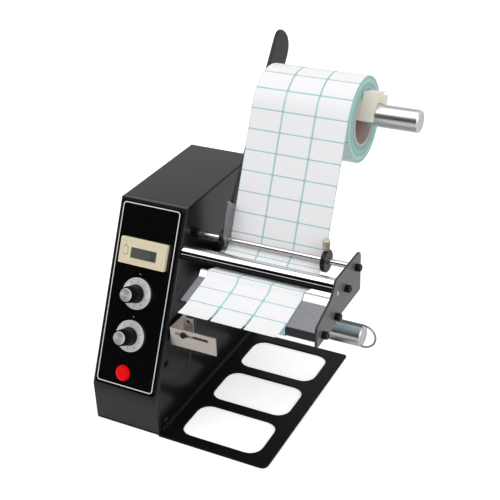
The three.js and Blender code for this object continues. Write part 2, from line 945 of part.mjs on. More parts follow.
// Guide rod with the black boss that seats it on the wall
add("guide_rod", drilledRod(housingWidth, endPlateX, guideRodRadius, guideRodY, guideRodZ), brightSteel);
const bossEnd = housingWidth + bossLength;
const bossBore = guideRodRadius + seatGap;
add(
  "guide_rod_boss",
  ringX(housingWidth, bossEnd, bossBore, bossRadius, guideRodY, guideRodZ, smallSides),
  boltBlack,
);

// Chrome roller, a tube that turns on its fixed axle
add("roller_axle", drilledRod(housingWidth, endPlateX, axleRadius, rollerY, rollerZ), brightSteel);
const rollerStart = housingWidth + sideGap;
const rollerEnd = endPlateX - sideGap;
add(
  "chrome_roller",
  ringX(rollerStart, rollerEnd, boreFor(axleRadius), rollerRadius, rollerY, rollerZ),
  chrome,
);

// Hold-down bar: a black bar close under the roller, from the housing's edge to a blind hole in the end plate
function holdDownBar() {
  return turnedX(
    [
      [housingWidth + seatGap, 0],
      [housingWidth + seatGap, holdDownRadius],
      [endPlateX - seatGap, holdDownRadius],
      [endPlateX - seatGap, holdDownEnd],
      [endPlateX + holdDownSeat, holdDownEnd],
      [endPlateX + holdDownSeat, 0],
    ],
    holdDownY,
    holdDownZ,
    smallSides,
  );
}
add("hold_down_bar", holdDownBar(), boltBlack);

// End plate: joins the rods' free ends and carries the deck
const endHoles = [
  [guideRodY, guideRodZ],
  [rollerY, rollerZ],
  [tieRearY, tieRearZ],
  [tieFrontY, tieFrontZ],
];

function endPlate() {
  const shape = outline([
    [endNoseY, endNoseBottomZ, endSoftCorner],
    [endStepFrontY, endNoseBottomZ],
    [endStepRearY, endBottomZ],
    [endRearY, endBottomZ, endSoftCorner],
    [endRearY, endTopZ, endCorner],
    [endShoulderY, housingHeight - endShoulderDrop, endCorner],
    [endRiseY, housingHeight - endRiseDrop, endCorner],
    [endNoseY, endNoseTopZ, endCorner],
  ]);
  for (const [y, z] of endHoles) {
    shape.holes.push(roundHole(y, z, boltBore));
  }
  shape.holes.push(rectangle(...centred(endSlotY, endSlotZ, endSlotWidth, endSlotHeight), endSlotWidth / 2));
  const holdDownHole = rodX(
    endPlateX - overrun,
    endPlateX + holdDownSeat + seatGap,
    holdDownEnd + seatGap,
    holdDownY,
    holdDownZ,
    smallSides,
  );
  return cut(plateX(shape, endPlateX, endPlateX + endPlateSheet), holdDownHole);
}
add("end_plate", endPlate(), plateGrey);

// A socket bolt along +X or -X: its head outside a plate, its shank back into a rod
function socketBolt(seat, reach, facing) {
  const face = seat + facing * boltHeadLength;
  const socketFloor = face - facing * boltSocketDepth;
  return [
    [reach, 0],
    [reach, boltShank],
    [seat, boltShank],
    [seat, boltHead],
    [face, boltHead],
    [face, boltSocket],
    [socketFloor, boltSocket],
    [socketFloor, 0],
  ];
}

endHoles.forEach(([y, z], i) => {
  const profile = socketBolt(endPlateX + endPlateSheet, endPlateX - boltReach, 1);
  add(`end_bolt_${i + 1}`, turnedX(profile, y, z, smallSides), boltBlack);
});

// Deck: a polished sheet that rises to a lip at the back and folds down at the peeling edge.
// Each bend gives the radius of the sheet's upper face; at another height the radius grows or shrinks.
const deckBends = [
  { y: lipY, z: lipZ, radius: lipRadius, turn: 1 },
  { y: kinkY, z: kinkZ, radius: kinkRadius, turn: -1 },
  { y: peelY, z: peelZ, radius: peelRadius, turn: 1 },
];
const atHeight = (height) =>
  deckBends.map((bend) => ({ ...bend, radius: bend.radius + bend.turn * height }));
const deckFlangeY = peelY - peelRadius + deckSheet / 2;
const deckRearY = lipY + lipRadius - deckSheet / 2;
const cheekRight = deckLeft + deckSheet;

function deckPlate() {
  const stops = [
    { y: deckRearY, z: deckRearZ },
    ...atHeight(-deckSheet / 2),
    { y: deckFlangeY, z: deckFlangeZ },
  ];
  const side = [...routePoints(stops, 0), [deckRearY, deckFlangeZ]];
  const cheek = new THREE.Shape(side.map(([y, z]) => new THREE.Vector2(y, z)));
  cheek.holes.push(roundHole(tieFrontY, tieFrontZ, boltBore));
  return joined(stripX(stops, deckSheet, deckLeft, endPlateX), plateX(cheek, deckLeft, cheekRight));
}
add("deck_plate", deckPlate(), deckSteel);
add("tie_rod_front", drilledRod(cheekRight, endPlateX, tieRadius, tieFrontY, tieFrontZ), brightSteel);
add("tie_rod_rear", drilledRod(cheekRight, endPlateX, tieRadius, tieRearY, tieRearZ), brightSteel);
const deckBolt = socketBolt(deckLeft, cheekRight + boltReach, -1);
add("deck_bolt", turnedX(deckBolt, tieFrontY, tieFrontZ, smallSides), boltBlack);

// Roll arm: a flat plate on two round feet, leaning back over its upper part
const armRight = armX + armSheet;

function armPoint(along, side) {
  const y = rollY + along * Math.sin(armLean) - side * Math.cos(armLean);
  return [y, rollShaftZ + along * Math.cos(armLean) + side * Math.sin(armLean)];
}

function armBendZ(edgeY, side) {
  const along = (edgeY - rollY + side * Math.cos(armLean)) / Math.sin(armLean);
  return armPoint(along, side)[1];
}

function rollArm() {
  const shape = outline([
    [armFootFrontY, armFootZ, armFootRound],
    [armFootRearY, armFootZ, armFootRound],
    [armFootRearY, armBendZ(armFootRearY, -armRearReach), armBend],
    [...armPoint(armTipReach, -armRearReach), armTipRearRound],
    [...armPoint(armTipReach, armFrontReach), armTipFrontRound],
    [armFootFrontY, armBendZ(armFootFrontY, armFrontReach), armBend],
  ]);
  shape.holes.push(roundHole(rollY, rollShaftZ, armSpigot + seatGap));
  const footY = (armFootFrontY + armFootRearY) / 2;
  return joined(
    plateX(shape, armX, armRight),
    ...[spacerLowZ, spacerHighZ].map((z) =>
      rodX(housingWidth, armX + armSheet / 2, spacerRadius, footY, z, smallSides),
    ),
  );
}
add("roll_arm", rollArm(), blackPaint);

function rollShaft() {
  return turnedX(
    [
      [armX - armSpigotProud, 0],
      [armX - armSpigotProud, armSpigot],
      [armRight, armSpigot],
      [armRight, rollShaftRadius],
      [rollShaftEnd - shaftChamfer, rollShaftRadius],
      [rollShaftEnd, rollShaftRadius - shaftChamfer],
      [rollShaftEnd, 0],
    ],
    rollY,
    rollShaftZ,
  );
}
add("roll_shaft", rollShaft(), aluminium);

// Saddles: leaning blocks on the shaft whose inner steps carry the core and whose flanges keep it in place
function saddle(flangeX0, flangeX1, facing, tab) {
  const half = saddleWidth / 2;
  const block = (x0, x1, front, top) => {
    const body = box([Math.min(x0, x1), front, -saddleDrop], [Math.max(x0, x1), half, top]);
    return body.rotateX(-saddleLean).translate(0, rollY, rollShaftZ);
  };
  const coreSide = facing > 0 ? flangeX1 : flangeX0;
  const reach = coreSide + facing * saddleReach;
  const inCore = coreInner * Math.cos(Math.PI / rollSides) - seatGap;
  const carrier = common(
    block(coreSide - facing * overrun, reach, -half, saddleHeight),
    rodX(Math.min(coreSide, reach) - overrun, Math.max(coreSide, reach) + overrun, inCore, rollY, rollZ),
  );
  const blocks = [block(flangeX0, flangeX1, -half, saddleHeight), carrier];
  if (tab) blocks.push(block(flangeX1 - overrun, flangeX1 + tab, outerTabInset, outerTabHeight));
  const bore = rollShaftRadius + seatGap;
  const clear = saddleReach + outerFlange + outerTab;
  return cut(joined(...blocks), rodX(flangeX0 - clear, flangeX1 + clear, bore, rollY, rollShaftZ));
}
const outerFlangeX = webRight + sideGap;
const outerFlangeEnd = outerFlangeX + outerFlange;
add("outer_saddle", saddle(outerFlangeX, outerFlangeEnd, -1, outerTab), creamPlastic);
add("inner_saddle", saddle(armRight + seatGap, webLeft - sideGap, 1, 0), creamPlastic);

// Label roll on its cardboard core
add("roll_core", ringX(webLeft, webRight, coreInner, coreOuter, rollY, rollZ, rollSides), cardboard);
const woundInner = coreOuter + seatGap;
add("label_roll", ringX(webLeft, webRight, woundInner, rollRadius, rollY, rollZ, rollSides), linerPaper);

// Label stock: off the roll, behind the guide rod, under the roller, over the deck and round the peeling
// edge, with its liner's end folded under the deck
const webLift = seatGap + webSheet / 2;
const webStops = [
  { y: rollY, z: rollZ, radius: rollRadius + webLift, turn: 1 },
  { y: guideRodY, z: guideRodZ, radius: guideRodRadius + webLift, turn: -1 },
  { y: rollerY, z: rollerZ, radius: rollerRadius + webLift, turn: -1 },
  ...atHeight(webLift),
  { y: deckFlangeY, z: deckFlangeZ, radius: deckSheet / 2 + webLift, turn: 1 },
  { y: deckFlangeY + linerFold, z: deckFlangeZ - deckSheet / 2 - webLift },
];
add("label_web", stripX(webStops, webSheet, webLeft, webRight), labelPaper);

// Peeled labels: they leave the deck's slope at the peeling edge and curl a little upwards
function peeledLabel(left) {
  const height = seatGap + webSheet + seatGap + labelSheet / 2;
  const [, kink, peel] = atHeight(height);
  const [from, edge] = routePoints([kink, peel], 0);
  const slope = Math.atan2(edge[1] - from[1], edge[0] - from[0]);
  const start = {
    heading: slope,
    y: edge[0] - labelHold * Math.cos(slope),
    z: edge[1] - labelHold * Math.sin(slope),
  };
  const curl = Array.from({ length: labelCurlSteps + 1 }, (_, i) => {
    const heading = slope - (labelCurl * i) / labelCurlSteps;
    const y = edge[0] + labelCurlRadius * (Math.sin(slope) - Math.sin(heading));
    const z = edge[1] + labelCurlRadius * (Math.cos(heading) - Math.cos(slope));
    return { heading, y, z };
  });
  const beside = (side) => ({ heading, y, z }) =>
    new THREE.Vector2(y - side * Math.sin(heading), z + side * Math.cos(heading));
  const line = [start, ...curl];
  const above = line.map(beside(labelSheet / 2));
  const below = line.map(beside(-labelSheet / 2)).reverse();
  return plateX(new THREE.Shape([...above, ...below]), left, left + labelWidth);
}
const labelPitch = labelWidth + labelGap;
const labelsLeft = webLeft + (webWidth - labelCount * labelPitch + labelGap) / 2;
for (let i = 0; i < labelCount; i++) {
  add(`peeled_label_${i + 1}`, peeledLabel(labelsLeft + i * labelPitch), labelPaper);
}

// Side guides: collars on the guide rod, each clamped by a thumbscrew
function collar() {
  const half = collarLength / 2;
  return cut(
    ringX(-half, half, guideRodRadius + seatGap, collarRadius, 0, 0),
    rodZ(0, collarRadius + overrun, thumbShank + seatGap, 0, 0, smallSides),
  );
}

function thumbscrew() {
  const tip = guideRodRadius + seatGap;
  const neckSeat = collarRadius + seatGap;
  const headSeat = neckSeat + thumbNeckLength;
  const top = headSeat + thumbHeadLength;
  return turnedZ([
    [tip, 0],
    [tip, thumbShank],
    [neckSeat, thumbShank],
    [neckSeat, thumbNeck],
    [headSeat, thumbNeck],
    [headSeat, thumbHead],
    [top - thumbEdge, thumbHead],
    [top, thumbHead - thumbEdge],
    [top, 0],
  ]);
}

const leftPlateRight = webLeft - seatGap;
const leftPlateX = leftPlateRight - leftGuidePlate;
const leftCollarX = leftPlateX - seatGap - collarLength / 2;
const rightCollarX = webRight + sideGap + collarLength / 2;
for (const [side, x, turn] of [["left", leftCollarX, leftThumbTurn], ["right", rightCollarX, 0]]) {
  const guide = new THREE.Group();
  guide.position.set(x, guideRodY, guideRodZ);
  guide.rotation.set(turn, 0, 0);
  machine.add(guide);
  add(`${side}_guide_collar`, collar(), boltBlack, guide);
  add(`${side}_thumbscrew`, thumbscrew(), brassSteel, guide);
}

function leftGuide() {
  const shape = outline(leftGuideCorners.map(([y, z]) => [guideRodY + y, guideRodZ + z, guideRound]));
  shape.holes.push(roundHole(guideRodY, guideRodZ, guideRodRadius + seatGap));
  return plateX(shape, leftPlateX, leftPlateRight);
}
add("left_guide_plate", leftGuide(), brightSteel);

// Take-up: the shaft's thin end runs through the bearing into the geared motor
const takeupStart = housingWidth + bearingFlangeSheet + sideGap;
const driveTip = wallInner - driveShaftReach;

function takeupShaft() {
  return turnedX(
    [
      [driveTip, 0],
      [driveTip, driveShaft],
      [takeupStart, driveShaft],
      [takeupStart, takeupRadius],
      [takeupEnd - shaftChamfer, takeupRadius],
      [takeupEnd, takeupRadius - shaftChamfer],
      [takeupEnd, 0],
    ],
    takeupY,
    takeupZ,
  );
}
add("takeup_shaft", takeupShaft(), aluminium);

function shaftBearing() {
  const bore = boreFor(driveShaft);
  const flangeEnd = housingWidth + bearingFlangeSheet;
  return turnedX(
    [
      [wallInner, bore],
      [wallInner, bearingRadius],
      [housingWidth, bearingRadius],
      [housingWidth, bearingFlange],
      [flangeEnd, bearingFlange],
      [flangeEnd, bore],
      [wallInner, bore],
    ],
    takeupY,
    takeupZ,
  );
}
add("shaft_bearing", shaftBearing(), bronze);

function gearMotor() {
  const bore = boreFor(driveShaft);
  const gearboxLeft = wallInner - gearboxLength;
  const motorLeft = gearboxLeft - motorLength;
  return turnedX(
    [
      [driveTip - seatGap, 0],
      [driveTip - seatGap, bore],
      [wallInner, bore],
      [wallInner, gearboxRadius],
      [gearboxLeft, gearboxRadius],
      [gearboxLeft, motorRadius],
      [motorLeft, motorRadius],
      [motorLeft, 0],
    ],
    takeupY,
    takeupZ,
  );
}
add("gear_motor", gearMotor(), plateGrey);

// Clip: a sprung wire fork along the shaft's top and bottom that pins the liner's end
const clipReach = takeupRadius + seatGap + clipWire;

class ClipPath extends THREE.Curve {
  getPoint(share, target = new THREE.Vector3()) {
    const leg = takeupEnd - clipLegStart;
    const loop = Math.PI * clipReach;
    const run = share * (leg + loop + leg);
    if (run < leg) return target.set(clipLegStart + run, takeupY, takeupZ + clipReach);
    const back = run - leg - loop;
    if (back > 0) return target.set(takeupEnd - back, takeupY, takeupZ - clipReach);
    const turn = (run - leg) / clipReach;
    const x = takeupEnd + clipReach * Math.sin(turn);
    return target.set(x, takeupY, takeupZ + clipReach * Math.cos(turn));
  }
}

function wire(path, radius, sides, steps) {
  const section = new THREE.Shape(
    Array.from({ length: sides }, (_, i) => {
      const turn = (2 * Math.PI * i) / sides;
      return new THREE.Vector2(radius * Math.cos(turn), radius * Math.sin(turn));
    }),
  );
  return new THREE.ExtrudeGeometry(section, { steps, extrudePath: path, bevelEnabled: false });
}
add("takeup_clip", wire(new ClipPath(), clipWire, clipSides, clipSteps), chrome);

// Label sensor: a bracket on the wall, and a carrier that its screw clamps anywhere along the slot
const bracketRearY = bracketFrontY + bracketSheet;

function sensorBracket() {
  const legRight = bracketX + bracketSheet;
  const footZ = (bracketBottomZ + bracketTopZ) / 2;
  const feet = [bracketFootY, bracketFootY - bracketFootPitch].map((y) =>
    rodX(housingWidth, bracketX + bracketSheet / 2, bracketFootRadius, y, footZ, smallSides),
  );
  const front = rectangle(bracketX, bracketBottomZ, bracketEndX, bracketTopZ);
  front.holes.push(
    rectangle(slotStartX, slotZ - slotWidth / 2, slotEndX, slotZ + slotWidth / 2, slotWidth / 2),
  );
  const leg = box([bracketX, bracketFrontY, bracketBottomZ], [legRight, bracketLegEndY, bracketTopZ]);
  return joined(plateY(front, bracketFrontY, bracketRearY), leg, ...feet);
}
add("sensor_bracket", sensorBracket(), brightSteel);

const carrierFrontY = bracketRearY + seatGap;
const sensorRearY = sensorPlateY + sensorSheet;

function sensorCarrier() {
  const legRear = carrierFrontY + sensorSheet;
  const footTop = sensorFootZ + sensorSheet;
  const side = outline([
    [carrierFrontY, sensorFootZ],
    [sensorRearY, sensorFootZ],
    [sensorRearY, sensorTopZ],
    [sensorPlateY, sensorTopZ],
    [sensorPlateY, footTop],
    [legRear, footTop],
    [legRear, sensorLegTopZ],
    [carrierFrontY, sensorLegTopZ],
  ]);
  const screwHole = sensorScrewShank + seatGap;
  return cut(
    plateX(side, sensorX - sensorWidth / 2, sensorX + sensorWidth / 2),
    rodY(carrierFrontY - overrun, legRear + overrun, screwHole, sensorX, slotZ),
    rodY(sensorPlateY - overrun, sensorRearY + overrun, sensorEyeRadius, sensorX, sensorTopZ - sensorEyeDrop),
  );
}
add("sensor_carrier", sensorCarrier(), brightSteel);

const sensorHead = box(
  [sensorX - sensorHeadWidth / 2, sensorRearY, sensorHeadBottomZ],
  [sensorX + sensorHeadWidth / 2, sensorRearY + sensorDepth, sensorTopZ - sensorHeadTopDrop],
);
add("sensor_head", sensorHead, blackPlastic);

function sensorScrew() {
  const headRear = bracketFrontY - seatGap / 2;
  const headFront = headRear - sensorScrewHeadLength;
  return joined(
    rodY(headFront, headRear, sensorScrewHead, sensorX, slotZ),
    rodY(headRear - overrun, carrierFrontY + sensorSheet, sensorScrewShank, sensorX, slotZ),
  );
}
add("sensor_screw", sensorScrew(), brightSteel);

// Sensor cable: from under the sensor, hanging in one loose bend, into the wall
const cableStart = [sensorX, sensorRearY + sensorDepth / 2, sensorHeadBottomZ - seatGap];
const cableRest = cableStops.map(([out, y, drop]) => [housingWidth + out, y, housingHeight - drop]);
const cableRoute = [cableStart, ...cableRest];
const cablePath = new THREE.CatmullRomCurve3(cableRoute.map((point) => new THREE.Vector3(...point)));
add("sensor_cable", wire(cablePath, cableRadius, cableSides, cableSteps), blackPlastic);

// Circuit board on stand-offs from the cover's left side
function circuitBoard() {
  const boardX = coverSheet + boardStandoff;
  const face = boardX + boardSheet;
  const plate = box([boardX, boardY, boardZ], [face, boardY + boardWidth, boardZ + boardHeight]);
  const standoffs = [standoffMargin, boardWidth - standoffMargin].flatMap((y) =>
    [standoffMargin, boardHeight - standoffMargin].map((z) =>
      rodX(coverSheet, boardX + boardSheet / 2, standoffRadius, boardY + y, boardZ + z, smallSides),
    ),
  );
  const chips = chipHeights.map((height, i) => {
    const y = boardY + chipMargin;
    const z = boardZ + chipMargin + i * chipPitch;
    return box([face - boardSheet / 2, y, z], [face + height, y + chipSize + height, z + chipSize]);
  });
  return joined(plate, ...standoffs, ...chips);
}
add("circuit_board", circuitBoard(), boardGreen);

// Transformer on the base
function transformer() {
  const left = (housingWidth - transformerWidth) / 2;
  const right = left + transformerWidth;
  const rear = transformerY + transformerDepth;
  const top = baseSheet + transformerHeight;
  const inset = coilOverhang;
  return joined(
    box([left, transformerY, baseSheet], [right, rear, top]),
    box([left + inset, transformerY - inset, baseSheet + inset], [right - inset, rear + inset, top - inset]),
  );
}
add("transformer", transformer(), plateGrey);

// Power inlet: a socket for a mains lead and a rocker switch in one rear module
const rearFace = housingDepth + inletFlange;
const rockerZ = inletTop - rockerTopMargin;
const rockerPivotY = rearFace - rockerPivotDepth;

function powerInlet() {
  const [left, bottom, right, top] = inletBody;
  const socketLeft = inletAcross - socketWidth / 2;
  const socketBottom = inletBottomZ + socketBottomMargin;
  const socket = rectangle(
    socketLeft,
    socketBottom,
    socketLeft + socketWidth,
    socketBottom + socketHeight,
    counterCorner,
  );
  const wellHalf = rockerRadius + seatGap;
  const wellSide = rockerLength / 2 + seatGap;
  const well = box(
    [inletAcross - wellSide, rockerPivotY - wellHalf, rockerZ - wellHalf],
    [inletAcross + wellSide, rearFace + overrun, rockerZ + wellHalf],
  );
  const pinEnd = wellSide + pinLength;
  const pinBore = boreFor(pinRadius, smallSides);
  const flange = rectangle(inletLeft, inletBottomZ, inletLeft + inletWidth, inletTop, counterCorner);
  return cut(
    joined(
      plateY(flange, housingDepth, rearFace),
      box([left, housingDepth - inletDepth, bottom], [right, housingDepth + inletFlange / 2, top]),
    ),
    plateY(socket, rearFace - socketDepth, rearFace + overrun),
    well,
    rodX(inletAcross - pinEnd, inletAcross + pinEnd, pinBore, rockerPivotY, rockerZ, smallSides),
  );
}
add("power_inlet", powerInlet(), blackPlastic);

function switchRocker() {
  const corner = Math.sqrt(rockerRadius ** 2 - rockerProud ** 2);
  const back = Array.from({ length: rollSides / 2 + 1 }, (_, i) => {
    const turn = Math.PI / 2 + (Math.PI * i) / (rollSides / 2);
    return [rockerRadius * Math.cos(turn), rockerRadius * Math.sin(turn)];
  });
  const side = [[rockerProud, corner], ...back, [rockerProud, -corner], [rockerProud - rockerDip, 0]];
  const half = rockerLength / 2;
  return joined(
    plateX(new THREE.Shape(side.map(([y, z]) => new THREE.Vector2(y, z))), -half, half),
    rodX(-half - pinLength, half + pinLength, pinRadius, 0, 0, smallSides),
  );
}
const rocker = add("switch_rocker", switchRocker(), blackPlastic);
rocker.position.set(inletAcross, rockerPivotY, rockerZ);
rocker.rotation.set(rockerRest, 0, 0);

export default machine;
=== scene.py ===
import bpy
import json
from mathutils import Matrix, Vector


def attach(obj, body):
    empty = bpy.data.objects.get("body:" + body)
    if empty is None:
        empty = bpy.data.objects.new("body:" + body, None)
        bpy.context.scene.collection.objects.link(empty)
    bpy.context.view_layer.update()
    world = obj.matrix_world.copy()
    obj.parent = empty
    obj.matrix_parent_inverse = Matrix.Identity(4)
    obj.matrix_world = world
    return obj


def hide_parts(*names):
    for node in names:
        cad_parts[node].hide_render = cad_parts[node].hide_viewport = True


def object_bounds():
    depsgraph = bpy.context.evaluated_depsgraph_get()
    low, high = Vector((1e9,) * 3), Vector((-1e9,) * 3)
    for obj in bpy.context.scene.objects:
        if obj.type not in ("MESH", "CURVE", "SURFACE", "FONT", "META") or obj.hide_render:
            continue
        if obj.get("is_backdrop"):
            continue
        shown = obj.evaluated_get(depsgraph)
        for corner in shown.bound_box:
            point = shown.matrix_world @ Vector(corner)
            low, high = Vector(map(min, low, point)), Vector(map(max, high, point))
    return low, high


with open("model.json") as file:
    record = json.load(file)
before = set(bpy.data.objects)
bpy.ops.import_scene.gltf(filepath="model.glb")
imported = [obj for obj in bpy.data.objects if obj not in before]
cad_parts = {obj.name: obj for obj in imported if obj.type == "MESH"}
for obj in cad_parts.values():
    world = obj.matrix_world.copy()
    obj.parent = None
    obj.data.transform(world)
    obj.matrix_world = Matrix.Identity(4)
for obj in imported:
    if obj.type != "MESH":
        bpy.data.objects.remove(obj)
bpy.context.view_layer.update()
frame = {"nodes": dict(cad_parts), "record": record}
import json
import math
import random
import bmesh
import bpy
from mathutils import Matrix, Vector

# The view: a high corner view of the machine on a seamless white sweep, with soft lamps above and at both
# sides. A black flag stands low at the front left and a grey one hangs high at the back left. Only
# reflections find them: one keeps the glossy control panel black, the other gives the metal its grey bands.


def linear(code):
    """An sRGB hex colour as linear RGBA."""
    shares = [int(code[i : i + 2], 16) / 255 for i in (0, 2, 4)]
    return [s / 12.92 if s <= 0.04045 else ((s + 0.055) / 1.055) ** 2.4 for s in shares] + [1.0]


def add_node(tree, kind, inputs=None, **settings):
    """A node with its settings; an input takes a value, a socket, or a node for that node's first output."""
    made = tree.nodes.new(kind)
    for name, value in settings.items():
        setattr(made, name, value)
    for name, value in (inputs or {}).items():
        if isinstance(value, bpy.types.Node):
            value = value.outputs[0]
        if isinstance(value, bpy.types.NodeSocket):
            tree.links.new(value, made.inputs[name])
        else:
            made.inputs[name].default_value = value
    return made


def placed(name, data):
    """A new object that holds this data, linked into the scene."""
    made = bpy.data.objects.new(name, data)
    scene.collection.objects.link(made)
    return made


scene = bpy.context.scene
scene.view_settings.view_transform = "Standard"
# The camera's place and turn, fitted to points of the photograph
camera = placed("camera", bpy.data.cameras.new("camera"))
scene.camera = camera
camera.data.sensor_width = 36.0
camera.data.lens = 73.46
camera_right = Vector((0.8916, 0.4517, -0.0331))
camera_up = Vector((-0.1952, 0.4491, 0.8719))
camera_back = Vector((0.4087, -0.7709, 0.4886))
camera_turn = Matrix((camera_right, camera_up, camera_back)).transposed().to_4x4()
camera.matrix_world = Matrix.Translation((0.45535, -0.7057, 0.6003)) @ camera_turn

world = bpy.data.worlds.new("white_sweep")
scene.world = world
world.use_nodes = True
sky = world.node_tree
sky.nodes.clear()
ray = add_node(sky, "ShaderNodeLightPath").outputs
mirrored = add_node(
    sky, "ShaderNodeMath", {0: ray["Is Camera Ray"], 1: ray["Is Glossy Ray"]}, operation="ADD"
)
seen = add_node(
    sky,
    "ShaderNodeMath",
    {0: mirrored, 1: ray["Is Transmission Ray"]},
    operation="ADD",
    use_clamp=True,
)
fill = add_node(sky, "ShaderNodeBackground", {"Color": linear("FBFAFA"), "Strength": 0.56})
white = add_node(sky, "ShaderNodeBackground", {"Color": linear("FFFFFF"), "Strength": 1.0})
both = add_node(sky, "ShaderNodeMixShader", {0: seen, 1: fill, 2: white})
add_node(sky, "ShaderNodeOutputWorld", {"Surface": both})


def bare_material(name):
    """A material whose node tree is empty; returns it and the tree."""
    made = bpy.data.materials.new(name)
    made.use_nodes = True
    made.node_tree.nodes.clear()
    return made, made.node_tree


def stage_sheet(name, corners, material):
    """A flat sheet of one face that belongs to the stage and not to the machine."""
    mesh = bpy.data.meshes.new(name)
    mesh.from_pydata(corners, [], [(0, 1, 2, 3)])
    mesh.materials.append(material)
    sheet = placed(name, mesh)
    sheet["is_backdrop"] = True
    return sheet


# White paper under the machine: it takes the soft shadow, and glows a little to the camera alone
paper_sweep, sweep = bare_material("white_paper_sweep")
ray = add_node(sweep, "ShaderNodeLightPath").outputs
lit = add_node(sweep, "ShaderNodeBsdfDiffuse", {"Color": linear("F2F2F2")})
lift = add_node(sweep, "ShaderNodeMath", {0: ray["Is Camera Ray"], 1: 0.5}, operation="MULTIPLY")
glow = add_node(sweep, "ShaderNodeEmission", {"Color": linear("FFFFFF"), "Strength": lift})
swept = add_node(sweep, "ShaderNodeAddShader", {0: lit, 1: glow})
add_node(sweep, "ShaderNodeOutputMaterial", {"Surface": swept})
# It lies a hair under the base, so that the two never share a surface
FLOOR = -0.0002
stage_sheet("floor", [(-4, -4, FLOOR), (4, -4, FLOOR), (4, 4, FLOOR), (-4, 4, FLOOR)], paper_sweep)

for name, level, corners in [
    ("black_flag", 0.004, [(-2.9, -1.2, 0), (0.5, -2.8, 0), (0.5, -2.8, 2.3), (-2.9, -1.2, 2.3)]),
    ("grey_flag", 0.42, [(-1.8, 1.05, 1.3), (-0.2, 1.85, 1.2), (0.2, 0.95, 2.3), (-1.4, 0.25, 2.4)]),
]:
    # Flag cloth: reflections alone find it, so it is a plain glow
    cloth, tree = bare_material(f"{name}_cloth")
    glow = add_node(tree, "ShaderNodeEmission", {"Color": linear("FFFFFF"), "Strength": level})
    add_node(tree, "ShaderNodeOutputMaterial", {"Surface": glow})
    flag = stage_sheet(name, corners, cloth)
    flag.visible_camera = False
    flag.visible_diffuse = False
    flag.visible_transmission = False
    flag.visible_shadow = False

for name, place, target, size, power in [
    ("key_lamp", (-1.0, -0.9, 1.9), (0, 0, 0.12), 1.4, 10.5),
    ("side_lamp", (1.7, -0.7, 1.2), (0, 0, 0.15), 1.5, 9.5),
    ("top_lamp", (0.2, 0.3, 2.0), (0, 0, 0.1), 1.6, 9.5),
]:
    lamp = bpy.data.lights.new(name, "AREA")
    lamp.size = size
    lamp.energy = power
    holder = placed(name, lamp)
    aim = Vector(target) - Vector(place)
    holder.matrix_world = Matrix.Translation(place) @ aim.to_track_quat("-Z", "Y").to_matrix().to_4x4()

# The sensor's cable: a thin black PVC lead that leaves the sensor's underside, hangs in one loose bend and
# goes through the side wall to the board. It is limp and dull, with a soft sheen along its length.

HOUSING_WIDTH, HOUSING_DEPTH, HOUSING_HEIGHT = 67.5, 201.6, 196.6
TO_METRES = Matrix.Scale(0.001, 4)
# Places are in millimetres from the housing's left front bottom corner, as the parts were drawn
IN_PART = TO_METRES @ Matrix.Translation((-HOUSING_WIDTH / 2, -HOUSING_DEPTH / 2, 0))


def new_material(name, code, roughness, metallic=0.0):
    """A material with the shader's plain values; returns it, its tree, its shader and Object coordinates."""
    made, tree = bare_material(name)
    plain = {"Base Color": linear(code), "Roughness": roughness, "Metallic": metallic}
    shader = add_node(tree, "ShaderNodeBsdfPrincipled", plain)
    add_node(tree, "ShaderNodeOutputMaterial", {"Surface": shader})
    coords = add_node(tree, "ShaderNodeTexCoord").outputs["Object"]
    return made, tree, shader, coords


def grained(name, code, roughness, metallic, grain, low, high, sheen, depth, stretch=(1, 1, 1), plain=None):
    """A finish with grain of a real size in mm.

    Its colour runs from low to high, its roughness between the two values of sheen, and its relief is depth
    mm deep. Stretch draws the grain out along an axis, and plain holds other values of the shader.
    """
    made, tree, shader, coords = new_material(name, code, roughness, metallic)
    for socket, value in (plain or {}).items():
        shader.inputs[socket].default_value = value
    across = add_node(tree, "ShaderNodeMapping", {"Vector": coords, "Scale": stretch}).outputs[0]
    noise = add_node(tree, "ShaderNodeTexNoise", {"Vector": across, "Scale": 1000 / grain, "Detail": 3.0})
    fleck = noise.outputs["Fac"]
    tint = add_node(tree, "ShaderNodeMix", {0: fleck, 6: linear(low), 7: linear(high)}, data_type="RGBA")
    tree.links.new(tint.outputs[2], shader.inputs["Base Color"])
    if sheen:
        gloss = add_node(tree, "ShaderNodeMapRange", {"Value": fleck, "To Min": sheen[0], "To Max": sheen[1]})
        tree.links.new(gloss.outputs[0], shader.inputs["Roughness"])
    if depth:
        bump = add_node(tree, "ShaderNodeBump", {"Height": fleck, "Strength": 0.5, "Distance": depth / 1000})
        tree.links.new(bump.outputs[0], shader.inputs["Normal"])
    return made


# Soft PVC: black, slightly mottled, semi-matt
cable_pvc = grained("soft_black_pvc", "1A1A1B", 0.5, 0.0, 1.5, "161617", "202021", (0.42, 0.58), 0.02)

cable_stops = [
    (83.4, 42.7, 95.7), (83.1, 41.8, 84.0), (82.3, 39.0, 70.0), (81.6, 36.5, 60.0),
    (79.0, 33.8, 55.4), (75.0, 30.4, 54.9), (72.6, 26.6, 58.4), (71.4, 23.8, 63.6),
    (69.4, 23.0, 65.9), (65.0, 23.0, 65.9), (60.0, 23.0, 65.9),
]
stops = [IN_PART @ Vector(stop) for stop in cable_stops]
# A smooth curve through the stops, with four steps to a span
line = []
for i in range(len(stops) - 1):
    before, after = stops[max(i - 1, 0)], stops[min(i + 2, len(stops) - 1)]
    start, end = stops[i], stops[i + 1]
    for k in range(4):
        t = k / 4
        straight = 2 * start + (end - before) * t
        bend = (2 * before - 5 * start + 4 * end - after) * t**2
        sway = (3 * start - before - 3 * end + after) * t**3
        line.append(0.5 * (straight + bend + sway))
line.append(stops[-1])


